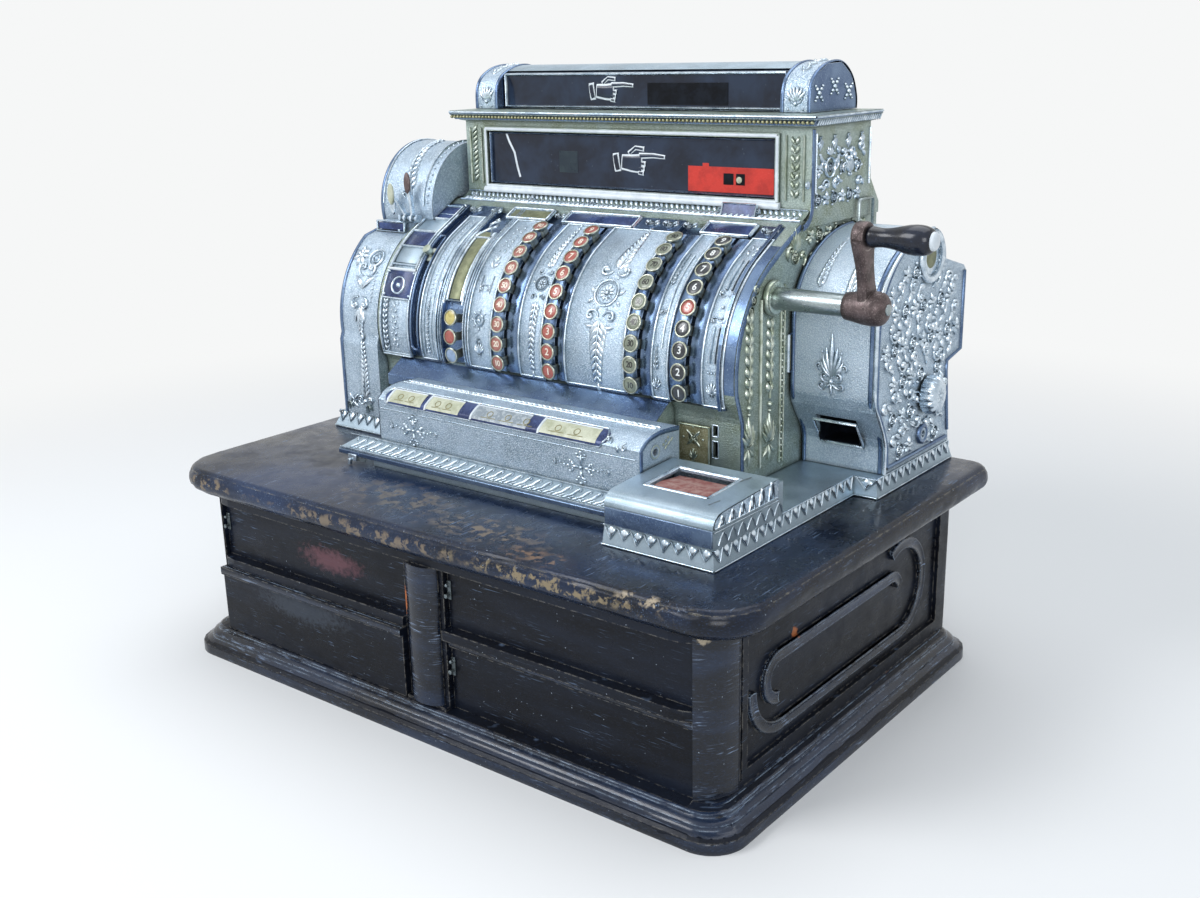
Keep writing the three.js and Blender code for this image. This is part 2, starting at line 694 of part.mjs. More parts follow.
// Keyboard shield: raised strips and lower channels with a slot for each key
function makeShield() {
  const end = slopeEnd.shieldY - fitGap;
  const band = (outer, x0, x1) => {
    const outside = keyboardCurve(outer, end);
    const inside = keyboardCurve(arc.innerRadius, end);
    return alongX([...outside, ...inside.reverse()].reverse(), x0, x1);
  };
  const right = cabinet.cheek - fitGap;
  let body = band(arc.floorRadius, dateStrip.left, right);
  const strips = [
    dateStrip, beadStrip, leftRail, rightRail, clerkStrip, stripAB, broadStrip, stripCD, rightStrip,
  ];
  for (const strip of strips) {
    body = body.add(band(arc.radius, strip.left, Math.min(strip.right, right)));
  }
  body = body.add(band(
    arc.radius + rib.height,
    rightStrip.right - rib.width * 2,
    rightStrip.right - rib.width,
  ));
  const slotOutline = [
    ...arcPoints(arc.y, arc.z, arc.innerRadius - overrun, sliderSlot.from, sliderSlot.to),
    ...arcPoints(arc.y, arc.z, arc.radius + overrun, sliderSlot.to, sliderSlot.from),
  ];
  body = body.subtract(alongX(slotOutline, sliderSlot.left, sliderSlot.right));
  const halfWidth = keyStem.width / 2 + runningGap;
  const halfBreadth = keyStem.breadth / 2 + runningGap;
  for (const { x, angle } of keyPlaces()) {
    const slot = barBox(halfWidth, arc.radius + overrun, arc.innerRadius - overrun, halfBreadth);
    body = body.subtract(solid(atAngle(slot, x + keyStemShift, angle)));
  }
  return body;
}

function keyPlaces() {
  const places = [];
  for (const [row, x] of Object.entries(keyRows)) {
    for (let i = 0; i < keysInRow; i++) {
      places.push({ name: `key_${row}${i + 1}`, row, x, angle: keyFirst + i * keyPitch });
    }
  }
  for (let i = 0; i < clerkKeys.count; i++) {
    const angle = keyFirst + i * keyPitch;
    places.push({ name: `key_clerk${i + 1}`, row: "clerk", x: clerkKeys.x, angle });
  }
  return places;
}

// A key: a round cap with a tapered underside on a flat stem
function makeKey() {
  const { radius, rim, thickness, neck, face } = keyCap;
  const profile = [
    [0, face - thickness],
    [neck, face - thickness],
    [radius, face - rim],
    [radius, face],
    [0, face],
  ];
  const cap = new THREE.LatheGeometry(profile.map(([r, out]) => new THREE.Vector2(r, out)), keySides);
  cap.rotateX(Math.PI);
  const stem = barBox(keyStem.width / 2, face - rim, keyStem.inner, keyStem.breadth / 2);
  stem.translate(keyStemShift, 0, 0);
  return solid(cap).add(solid(stem));
}

function addKeys() {
  const body = makeKey();
  const finishOf = { a: "redKey", b: "redKey", c: "creamKey", d: "blackKey" };
  const clerkFinishes = { key_clerk1: "blueKey", key_clerk2: "redKey", key_clerk3: "yellowKey" };
  for (const { name, row, x, angle } of keyPlaces()) {
    const key = addPiece(name, body, finishOf[row] ?? clerkFinishes[name]);
    key.rotation.x = -THREE.MathUtils.degToRad(angle);
    key.position.set(x, arc.y, arc.z);
  }
}

// Date slider: a curved foot in its slot and a round knob
function makeSlider() {
  const half = slider.span / 2;
  const footOutline = [
    ...arcPoints(arc.y, arc.z, slider.foot, slider.angle - half, slider.angle + half),
    ...arcPoints(arc.y, arc.z, arc.radius, slider.angle + half, slider.angle - half),
  ];
  const foot = alongX(footOutline, sliderSlot.left + runningGap, sliderSlot.right - runningGap);
  const pairs = [
    [0, arc.floorRadius],
    [slider.neckRadius, arc.floorRadius],
    [slider.neckRadius, (arc.radius + slider.knobFace) / 2],
    [slider.knobRadius, (arc.radius + slider.knobFace) / 2],
    [slider.knobRadius, slider.knobFace],
    [0, slider.knobFace],
  ];
  const knob = new THREE.LatheGeometry(pairs.map(([r, out]) => new THREE.Vector2(r, out)), keySides);
  knob.rotateX(Math.PI);
  return foot.add(solid(atAngle(knob, (sliderSlot.left + sliderSlot.right) / 2, slider.angle)));
}

// Left housing: a cheek that follows the keyboard, a shelf and a drum
function makeHousing() {
  const bottom = metalBase.top + fitGap;
  const backY = drum.y + drum.radius;
  const radius = arc.radius + runningGap;
  const cheekAngle = THREE.MathUtils.radToDeg(Math.asin((housing.cheekHeight - arc.z) / radius));
  const drumArc = arcPoints(drum.y, drum.z, drum.radius, drum.from, 180);
  const outline = [
    [housing.front, bottom],
    [housing.front, housing.cheekHeight],
    ...arcPoints(arc.y, arc.z, radius, cheekAngle + arcStep / 2, housing.arcTo),
    [shelf.y, shelf.z],
    ...drumArc,
    [backY, bottom],
  ];
  let body = alongX(outline.reverse(), housing.left, housing.right);
  const over = keyboardCurve(radius + drum.margin, slopeEnd.y, housing.arcTo);
  const clear = [
    ...over.slice(1),
    [backY + overrun, over[over.length - 1][1] + drum.margin],
    [backY + overrun, drum.z + drum.radius + overrun],
    [over[1][0], drum.z + drum.radius + overrun],
  ];
  const wing = alongX([...drumArc].reverse(), housing.right - drum.margin, drum.right);
  body = body.add(wing.intersect(alongX(
    clear.reverse(),
    housing.right - drum.margin * 2,
    drum.right + overrun,
  )));
  return body.add(makeLeverPin());
}

function makeLeverPin() {
  const { y, z, radius, left, right, lug, head, headLength } = leverPin;
  const lugOutline = [
    [y - lug * 2, shelf.z - overrun],
    [y - lug, z + lug],
    [y + lug, z + lug],
    [y + lug * 4, z + lug],
    [y + lug * 4, shelf.z - overrun],
  ];
  const pin = rod(left, right, y, z, radius, radius, keySides);
  const pinHead = rod(right - headLength, right, y, z, head, head, keySides);
  return join(alongX(lugOutline.reverse(), left, left + lug), pin, pinHead);
}

// A lever: a hub on the pin, a leaning arm and an oval finger pad
function makeLever({ hubX, tipX, tipY, tipZ }) {
  const { hub, thickness, gap, arm, padHalf } = lever;
  const { y, z, radius } = leverPin;
  const half = thickness / 2;
  const level = (share) => {
    const cx = hubX + (tipX - hubX) * share;
    const cy = y + (tipY - y) * share;
    return rectangle(
      cx - half,
      cx + half,
      cy - arm / 2,
      cy + arm / 2,
      z + hub / 2 + (tipZ - z - hub / 2) * share,
    );
  };
  const pad = new THREE.SphereGeometry(1, keySides, keySides / 2);
  pad.scale(padHalf.x, padHalf.y, padHalf.z);
  pad.translate(tipX, tipY, tipZ - padHalf.z);
  const hubBody = rod(hubX - half, hubX + half, y, z, hub, hub, keySides);
  const bore = rod(hubX - thickness, hubX + thickness, y, z, radius + gap, radius + gap, keySides);
  return join(hubBody, loft([level(0), level(0.8)]), solid(pad)).subtract(bore);
}

// Printer cover: a rounded shell with four windows and a keyhole
function makeCover() {
  const { left, right, front, back, faceTop, top, wall } = cover;
  const foot = metalBase.top + fitGap;
  const outline = (inset) => [
    [back - inset, foot],
    [front + inset, foot],
    ...coverDepthShares.map((share, i) => [
      front + inset + share * (back - front - inset * 2),
      faceTop + coverRiseShares[i] * (top - faceTop) - inset,
    ]),
  ];
  const inside = outline(wall);
  inside[0][1] -= overrun;
  inside[1][1] -= overrun;
  let body = alongX(outline(0), left, right).subtract(alongX(inside, left + wall, right - wall));
  const cutBack = front + coverWindow.depthShare * (back - front);
  for (const [x0, x1] of Object.values(coverWindows)) {
    body = body.subtract(box(x0, x1, front - overrun, cutBack, coverWindow.bottom, top + overrun));
  }
  const { y, z, bore, ring, height } = coverKeyhole;
  body = body.add(rod(right - wall / 2, right + height, y, z, ring, ring, keySides));
  return body.subtract(rod(right - wall - overrun, right + overrun, y, z, bore, bore, keySides));
}

// Slip printer: a tall case with a rounded top, a mouth in front and fittings on its side
function makeSlipPrinter() {
  const bottom = metalBase.top + fitGap;
  const { left, right, foot, waist, back } = slip;
  const { ogeeBottom, ogeeTop, bendStart, ridge } = slipHeights;
  const { y: ridgeY, backY, backZ } = slipRidge;
  const { y: bulgeY, top: bulgeTop, bottom: bulgeBottom, inner, foot: bulgeFoot } = slipBulge;
  const outline = [
    [foot, bottom],
    ...ogee([foot, ogeeBottom], [waist, ogeeTop]),
    ...arcPoints(ridgeY, bendStart, ridgeY - waist, 0, 90, ridge - bendStart),
    ...arcPoints(ridgeY, backZ, backY - ridgeY, 110, 180, ridge - backZ),
    [bulgeY - overrun, bulgeTop],
    [bulgeY, bulgeTop - overrun],
    [bulgeY, bulgeBottom],
    [inner, bulgeBottom - overrun],
    [inner, bulgeFoot],
    [back, bottom],
  ];
  let body = alongX(outline.reverse(), left, right);
  const mouth = slipMouth;
  body = body.subtract(box(
    mouth.left,
    mouth.right,
    waist - overrun,
    foot + mouth.depth,
    mouth.bottom,
    mouth.top,
  ));
  const side = (x0, x1, at, radius, sides) => rod(x0, x1, at.y, at.z, radius, radius, sides);
  body = body.add(side(right - overrun, right + slipRing.height, slipRing, slipRing.radius, rodSides));
  body = body.subtract(side(right - slipRing.depth, right + overrun, slipRing, slipRing.bore, rodSides));
  body = body.add(side(
    right - overrun,
    right + slipKeyhole.height,
    slipKeyhole,
    slipKeyhole.radius,
    keySides,
  ));
  body = body.subtract(side(
    right - slipKeyhole.depth,
    right + overrun,
    slipKeyhole,
    slipKeyhole.bore,
    keySides,
  ));
  const boreEnd = right - slipKnob.stubLength - fitGap;
  return body.subtract(side(boreEnd, right + overrun, slipKnob, slipKnob.stub + runningGap, keySides));
}

// Slip printer's fluted knob with its stub
function makeSlipKnob() {
  const { y, z, radius, length, stub, stubLength, flutes, fluteDepth } = slipKnob;
  const start = slip.right + fitGap;
  const outline = Array.from({ length: flutes * fluteSteps }, (_, i) => {
    const angle = (2 * Math.PI * i) / (flutes * fluteSteps);
    const r = radius - (fluteDepth / 2) * (1 - Math.cos(angle * flutes));
    return [y + r * Math.cos(angle), z + r * Math.sin(angle)];
  });
  const rim = rod(
    start + length - fluteDepth,
    start + length,
    y,
    z,
    radius - fluteDepth,
    radius - fluteDepth * 2,
  );
  const body = alongX(outline, start, start + length - fluteDepth);
  return join(body, rim, rod(slip.right - stubLength, start + fluteDepth, y, z, stub, stub, keySides));
}

// Crank: shaft, hub and end button turned in one, an arm with a boss, and the handle's pin and cap
function makeCrank() {
  const { y, z, shaft, inner, hubStart, hubEnd, hub, button, buttonEnd } = crank;
  const chamfer = (hub - shaft) / 2;
  const pairs = [
    [inner, 0],
    [inner, shaft],
    [hubStart, shaft],
    [hubStart + chamfer, hub - chamfer],
    [hubStart + chamfer * 3, hub],
    [hubEnd - chamfer * 2, hub],
    [hubEnd, button],
    [buttonEnd - chamfer, button],
    [buttonEnd, button / 2],
    [buttonEnd, 0],
  ];
  const { inner: armInner, outer, tipY, tipZ, boss, root, waist } = crankArm;
  const along = new THREE.Vector2(tipY - y, tipZ - z);
  const across = new THREE.Vector2(-along.y, along.x).normalize();
  const at = (share, half) => [
    y + along.x * share + across.x * half,
    z + along.y * share + across.y * half,
  ];
  const armOutline = [at(0, root), at(0.35, waist), at(0.75, waist), at(1, boss), at(1, -boss)];
  armOutline.push(at(0.75, -waist), at(0.35, -waist), at(0, -root));
  const pin = handle.bore - runningGap;
  const capStart = handle.end + fitGap;
  return join(
    turned(pairs, y, z),
    alongX(armOutline, armInner, outer),
    rod(armInner, outer, tipY, tipZ, boss),
    rod(outer - overrun, capStart + fitGap, tipY, tipZ, pin, pin, keySides),
    rod(capStart, capStart + crankCap.length, tipY, tipZ, crankCap.radius),
  );
}

// Crank handle: a waisted grip bored for its pin
function makeHandle() {
  const { end, bore, startRadius, waistRadius, bellyRadius } = handle;
  const start = crankArm.outer + runningGap;
  const outer = handleLengthShares.map((share, i) => [
    start + share * (end - start),
    waistRadius + handleBulgeShares[i] * (bellyRadius - waistRadius),
  ]);
  outer[0][1] = startRadius;
  const pairs = [[start, bore], ...outer, [end, bore], [start, bore]];
  return turned(pairs, crankArm.tipY, crankArm.tipZ);
}

// Top sign: end caps with a rounded section and a recessed front between them
function makeSign() {
  const { left, right, front, back, bottom, height, endCap, recess } = sign;
  const outline = signDepthShares.map((share, i) => [
    front + share * (back - front),
    bottom + signHeightShares[i] * height,
  ]);
  const cut = box(
    left + endCap,
    right - endCap,
    front - overrun,
    front + recess,
    bottom - overrun,
    bottom + signWindowHeight,
  );
  return alongX(outline.reverse(), left, right).subtract(cut);
}

function makeGlass() {
  const { left, right, bottom, top } = displayWindow;
  const y = displayCase.front + cabinet.wall + fitGap;
  const { margin, thickness } = glass;
  return box(left - margin, right + margin, y, y + thickness, bottom - margin, top + margin);
}

register.name = "cash_register";
addPiece("wooden_carcass", makeCarcass(), "wood");
addPiece("wooden_top", makeSlab(), "wood");
addPiece("drawer_upper_left", makeDrawer(-1, 1, drawerFront.recessed, false), "wood");
addPiece("drawer_upper_right", makeDrawer(1, 1, drawerFront.recessed, false), "wood");
addPiece("drawer_lower_left", makeDrawer(-1, 0, drawerFront.standing, true), "wood");
addPiece("drawer_lower_right", makeDrawer(1, 0, drawerFront.recessed, true), "wood");
addPiece("metal_base", makeMetalBase(), "nickel");
addPiece("paper_box_lid", makePaperLid(), "nickel");
addPiece("cabinet_case", makeCabinet(), "nickel");
addPiece("keyboard_shield", makeShield(), "nickel");
addKeys();
addPiece("date_slider", makeSlider(), "nickel");
addPiece("left_housing", makeHousing(), "nickel");
addPiece("lever_long", makeLever(longLever), "nickel");
addPiece("lever_short", makeLever(shortLever), "nickel");
addPiece("display_glass", makeGlass(), "glass");
addPiece("top_sign", makeSign(), "nickel");
addPiece("printer_cover", makeCover(), "nickel");
addPiece("slip_printer", makeSlipPrinter(), "nickel");
addPiece("slip_printer_knob", makeSlipKnob(), "nickel");
addPiece("crank", makeCrank(), "bronze");
addPiece("crank_handle", makeHandle(), "ebonite");

export default register;
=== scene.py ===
import json
from math import atan2, copysign, cos, degrees, hypot, pi, radians, sin, sqrt

import bpy
from mathutils import Matrix, Vector
from mathutils import noise as bpyNoise

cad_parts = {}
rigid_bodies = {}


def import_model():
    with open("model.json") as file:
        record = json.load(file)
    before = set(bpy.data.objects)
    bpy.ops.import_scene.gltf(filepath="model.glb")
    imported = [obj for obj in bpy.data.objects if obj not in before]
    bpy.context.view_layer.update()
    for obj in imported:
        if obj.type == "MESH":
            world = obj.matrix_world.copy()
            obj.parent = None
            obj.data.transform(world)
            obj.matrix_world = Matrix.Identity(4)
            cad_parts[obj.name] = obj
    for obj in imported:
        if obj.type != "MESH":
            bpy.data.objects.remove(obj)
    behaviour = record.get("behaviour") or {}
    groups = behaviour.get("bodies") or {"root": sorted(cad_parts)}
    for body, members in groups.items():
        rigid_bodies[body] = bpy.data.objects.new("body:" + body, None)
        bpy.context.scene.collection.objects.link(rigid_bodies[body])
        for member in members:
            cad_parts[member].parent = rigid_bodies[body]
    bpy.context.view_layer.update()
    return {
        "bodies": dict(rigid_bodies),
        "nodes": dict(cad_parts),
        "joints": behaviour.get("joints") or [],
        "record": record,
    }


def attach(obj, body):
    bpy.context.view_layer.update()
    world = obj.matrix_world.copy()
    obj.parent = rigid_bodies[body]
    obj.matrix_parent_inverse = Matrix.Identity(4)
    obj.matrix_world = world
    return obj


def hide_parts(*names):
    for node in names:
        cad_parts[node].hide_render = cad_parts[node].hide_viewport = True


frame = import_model()
nodes = frame["nodes"]
scene = bpy.context.scene
print("frame loaded:", len(nodes), "CAD nodes")

# Camera, as it stood for the photograph: metres, degrees and millimetres of lens
view = {"place": (0.9229, -1.1061, 0.6799), "turn": 38.5, "tilt": 16.8, "roll": -1.3, "lens": 39.85,
        "sensor": 36, "farthest": 50}


def makeCamera():
    turn, tilt, roll = (radians(view[k]) for k in ("turn", "tilt", "roll"))
    forward = Vector((-sin(turn) * cos(tilt), cos(turn) * cos(tilt),
                      -sin(tilt)))
    level = forward.cross(Vector((0, 0, 1))).normalized()
    over = level.cross(forward)
    right = level * cos(roll) + over * sin(roll)
    up = over * cos(roll) - level * sin(roll)
    data = bpy.data.cameras.new("photo_camera")
    data.lens = view["lens"]
    data.sensor_width = view["sensor"]
    data.clip_end = view["farthest"]
    camera = bpy.data.objects.new("photo_camera", data)
    rotation = Matrix((right, up, -forward)).transposed().to_4x4()
    camera.matrix_world = Matrix.Translation(Vector(view["place"])) @ rotation
    scene.collection.objects.link(camera)
    scene.camera = camera


makeCamera()
scene.view_settings.view_transform = "Standard"
print("camera placed")


# Colours are sRGB hex values, nodes are added by one function
def linear(hexValue):
    parts = [int(hexValue[i:i + 2], 16) / 255 for i in (1, 3, 5)]
    return tuple(c / 12.92 if c <= 0.04045 else ((c + 0.055) / 1.055) ** 2.4
                 for c in parts) + (1.0,)


def addNode(tree, kind, settings=None, links=None):
    node = tree.nodes.new("ShaderNode" + kind)
    for key, value in (settings or {}).items():
        setattr(node, key, value)
    for key, source in (links or {}).items():  # a socket is linked, anything else is set
        if isinstance(source, bpy.types.NodeSocket):
            tree.links.new(source, node.inputs[key])
        else:
            node.inputs[key].default_value = source
    return node


def perMetre(millimetres):
    return 1000 / millimetres


quarterTurn, eighthTurn = 1.571, 0.785  # radians


# Uneven patches of a size in millimetres, 0 where the cloud is below low and 1 above high
cloudLook = {"Roughness": 0.62, "Distortion": 0.3}


def patchMask(tree, place, size, low, high, detail=4.0, least=0.0, most=1.0):
    cloud = addNode(tree, "TexNoise", {}, {
        "Vector": place, "Scale": perMetre(size), "Detail": detail, **cloudLook})
    return addNode(tree, "MapRange", {"clamp": True}, {
        "Value": cloud.outputs[0], "From Min": low, "From Max": high,
        "To Min": least, "To Max": most}).outputs[0]


# What a finish has when its own table says nothing else: sizes in millimetres, shares from 0 to 1
plainFinish = {
    "patch": 60, "patchRange": (0.42, 0.62), "stretch": (1, 1, 1), "grain": 1.2,
    "grainRange": (0.5, 0.72), "rough": (0.3, 0.5), "roughPatch": 22, "roughRange": (0.3, 0.7),
    "metal": 0.0, "coat": 0.0, "coatRough": 0.15, "shine": 0.5, "dirtAndPaintedShadeReach": 3, "dirtAndPaintedShadeFrom": 0.35,
    "dirtAndPaintedShadeTo": 0.95, "dirtAndPaintedShadeShare": 0.8, "dirtAndPaintedShadeRough": 0.1, "streakPatch": 35,
    "streakPatchRange": (0.45, 0.65), "streakRough": 0.25, "wearAndPaintedHighlightReach": 1.6, "wearAndPaintedHighlightPatch": 9,
    "wearAndPaintedHighlightRange": (0.42, 0.6), "wearAndPaintedHighlightEdge": (0.86, 0.99), "wearAndPaintedHighlightRough": 0.2, "dustSize": 7,
    "dustDot": 0.05, "dustFade": 0.03, "dustPatch": 18, "dustRange": (0.48, 0.56),
    "dustRough": 0.4, "bumpRange": (0.2, 0.8), "rays": 4, "spots": [], "bumps": [],
}
plainSpot = {"ragged": 14, "raggedShare": 0.5, "fade": 0.25, "share": 0.8, "rough": 0.15,
             "flakeRange": (0.5, 0.56)}


# A finish: base and second colour in patches, fine grain that is painted glints on stippled nickel,
# wear at the edges with a painted highlight on mouldings and bands, dirt and painted shade in the
# hollows
def makeFinish(name, own):
    look = {**plainFinish, **own}
    material = bpy.data.materials.new(name)
    material.use_nodes = True
    tree = material.node_tree
    tree.nodes.clear()
    place = addNode(tree, "TexCoord").outputs["Object"]
    along = addNode(tree, "Mapping", {}, {"Vector": place, "Scale": look["stretch"]}).outputs[0]

    layers = [(patchMask(tree, along, look["patch"], *look["patchRange"]), look["second"], 0)]
    # pale grain; on the stippled nickel finishes these specks are painted glints
    if "grainAndPaintedGlintColour" in look:
        fine = patchMask(tree, along, look["grain"], *look["grainRange"], 3.0)
        layers.append((fine, look["grainAndPaintedGlintColour"], 0))
    # ambient occlusion darkens the hollows and the places between parts: real dirt and tarnish,
    # together with painted shade
    if "dirtAndPaintedShade" in look:
        shade = addNode(tree, "AmbientOcclusion", {"samples": look["rays"]},
                        {"Distance": look["dirtAndPaintedShadeReach"] / 1000})
        hollow = addNode(tree, "MapRange", {"clamp": True}, {
            "Value": shade.outputs["AO"], "From Min": look["dirtAndPaintedShadeFrom"], "From Max": look["dirtAndPaintedShadeTo"],
            "To Min": look["dirtAndPaintedShadeShare"], "To Max": 0.0}).outputs[0]
        layers.append((hollow, look["dirtAndPaintedShade"], look["dirtAndPaintedShadeRough"]))
    if "streak" in look:
        lines = addNode(tree, "Mapping", {}, {"Vector": place, "Scale": look["streakStretch"]})
        thin = patchMask(tree, lines.outputs[0], look["streakSize"], *look["streakRange"], 2.0)
        some = patchMask(tree, place, look["streakPatch"], *look["streakPatchRange"], 2.0)
        thin = addNode(tree, "Math", {"operation": "MULTIPLY"}, {0: thin, 1: some}).outputs[0]
        layers.append((thin, look["streak"], look["streakRough"]))
    # edges lightened where the bevelled normal turns away: rubbed wear, and on mouldings and
    # polished bands also a painted highlight
    if "wearAndPaintedHighlight" in look:
        flat = addNode(tree, "NewGeometry").outputs["Normal"]
        rounded = addNode(tree, "Bevel", {"samples": look["rays"]},
                          {"Radius": look["wearAndPaintedHighlightReach"] / 1000}).outputs[0]
        facing = addNode(tree, "VectorMath", {"operation": "DOT_PRODUCT"}, {0: flat, 1: rounded})
        soft, hard = look["wearAndPaintedHighlightEdge"]
        edge = addNode(tree, "MapRange", {"clamp": True}, {
            "Value": facing.outputs["Value"], "From Min": soft, "From Max": hard,
            "To Min": 1.0, "To Max": 0.0}).outputs[0]
        rub = patchMask(tree, place, look["wearAndPaintedHighlightPatch"], *look["wearAndPaintedHighlightRange"])
        edge = addNode(tree, "Math", {"operation": "MULTIPLY"}, {0: edge, 1: rub}).outputs[0]
        layers.append((edge, look["wearAndPaintedHighlight"], look["wearAndPaintedHighlightRough"]))
    if "dust" in look:
        specks = addNode(tree, "TexVoronoi", {}, {
            "Vector": place, "Scale": perMetre(look["dustSize"])})
        dots = addNode(tree, "MapRange", {"clamp": True}, {
            "Value": specks.outputs["Distance"], "From Min": look["dustDot"],
            "From Max": look["dustDot"] + look["dustFade"], "To Min": 1.0, "To Max": 0.0})
        some = patchMask(tree, place, look["dustPatch"], *look["dustRange"], 3.0)
        dots = addNode(tree, "Math", {"operation": "MULTIPLY"}, {0: dots.outputs[0], 1: some})
        layers.append((dots.outputs[0], look["dust"], look["dustRough"]))
    for spot in look["spots"]:  # a worn or stained place round one point
        spot = {**plainSpot, **spot}
        away = addNode(tree, "VectorMath", {"operation": "SUBTRACT"}, {
            0: place, 1: [v / 1000 for v in spot["at"]]})
        spread = addNode(tree, "VectorMath", {"operation": "MULTIPLY"}, {
            0: away.outputs[0], 1: [perMetre(v) for v in spot["reach"]]})
        far = addNode(tree, "VectorMath", {"operation": "LENGTH"}, {0: spread.outputs[0]})
        ragged = patchMask(tree, place, spot["ragged"], *look["roughRange"], 5.0,
                           0.0, spot["raggedShare"])
        ragged = addNode(tree, "Math", {"operation": "ADD"}, {0: far.outputs["Value"], 1: ragged})
        mask = addNode(tree, "MapRange", {"clamp": True}, {
            "Value": ragged.outputs[0], "From Min": 1.0 - spot["fade"], "From Max": 1.0,
            "To Min": spot["share"], "To Max": 0.0}).outputs[0]
        if "flakes" in spot:
            flakes = patchMask(tree, place, spot["flakes"], *spot["flakeRange"], 5.0)
            mask = addNode(tree, "Math", {"operation": "MULTIPLY"}, {0: mask, 1: flakes}).outputs[0]
        layers.append((mask, spot["colour"], spot["rough"]))

    colour = linear(look["base"])
    rough = patchMask(tree, place, look["roughPatch"], *look["roughRange"], 4.0, *look["rough"])
    for mask, over, rougher in layers:
        colour = addNode(tree, "Mix", {"data_type": "RGBA"}, {
            0: mask, 6: colour, 7: linear(over)}).outputs[2]
        if rougher:
            rough = addNode(tree, "Math", {"operation": "MULTIPLY_ADD"}, {
                0: mask, 1: rougher, 2: rough}).outputs[0]

    shader = addNode(tree, "BsdfPrincipled", {}, {
        "Base Color": colour, "Roughness": rough, "Metallic": look["metal"],
        "Coat Weight": look["coat"], "Coat Roughness": look["coatRough"],
        "Specular IOR Level": look["shine"]})
    links = {}
    for size, depth, *pits in look["bumps"]:  # a third entry makes pits of the noise
        if pits:
            cells = addNode(tree, "TexVoronoi", {}, {"Vector": place, "Scale": perMetre(size)})
            height = cells.outputs["Distance"]
        else:
            height = patchMask(tree, along, size, *look["bumpRange"], 3.0)
        bump = addNode(tree, "Bump", {}, {"Height": height, "Distance": depth / 1000, **links})
        links = {"Normal": bump.outputs[0]}
    if links:
        tree.links.new(links["Normal"], shader.inputs["Normal"])
    addNode(tree, "OutputMaterial", {}, {"Surface": shader.outputs[0]})
    material.diffuse_color = linear(look["base"])
    return material


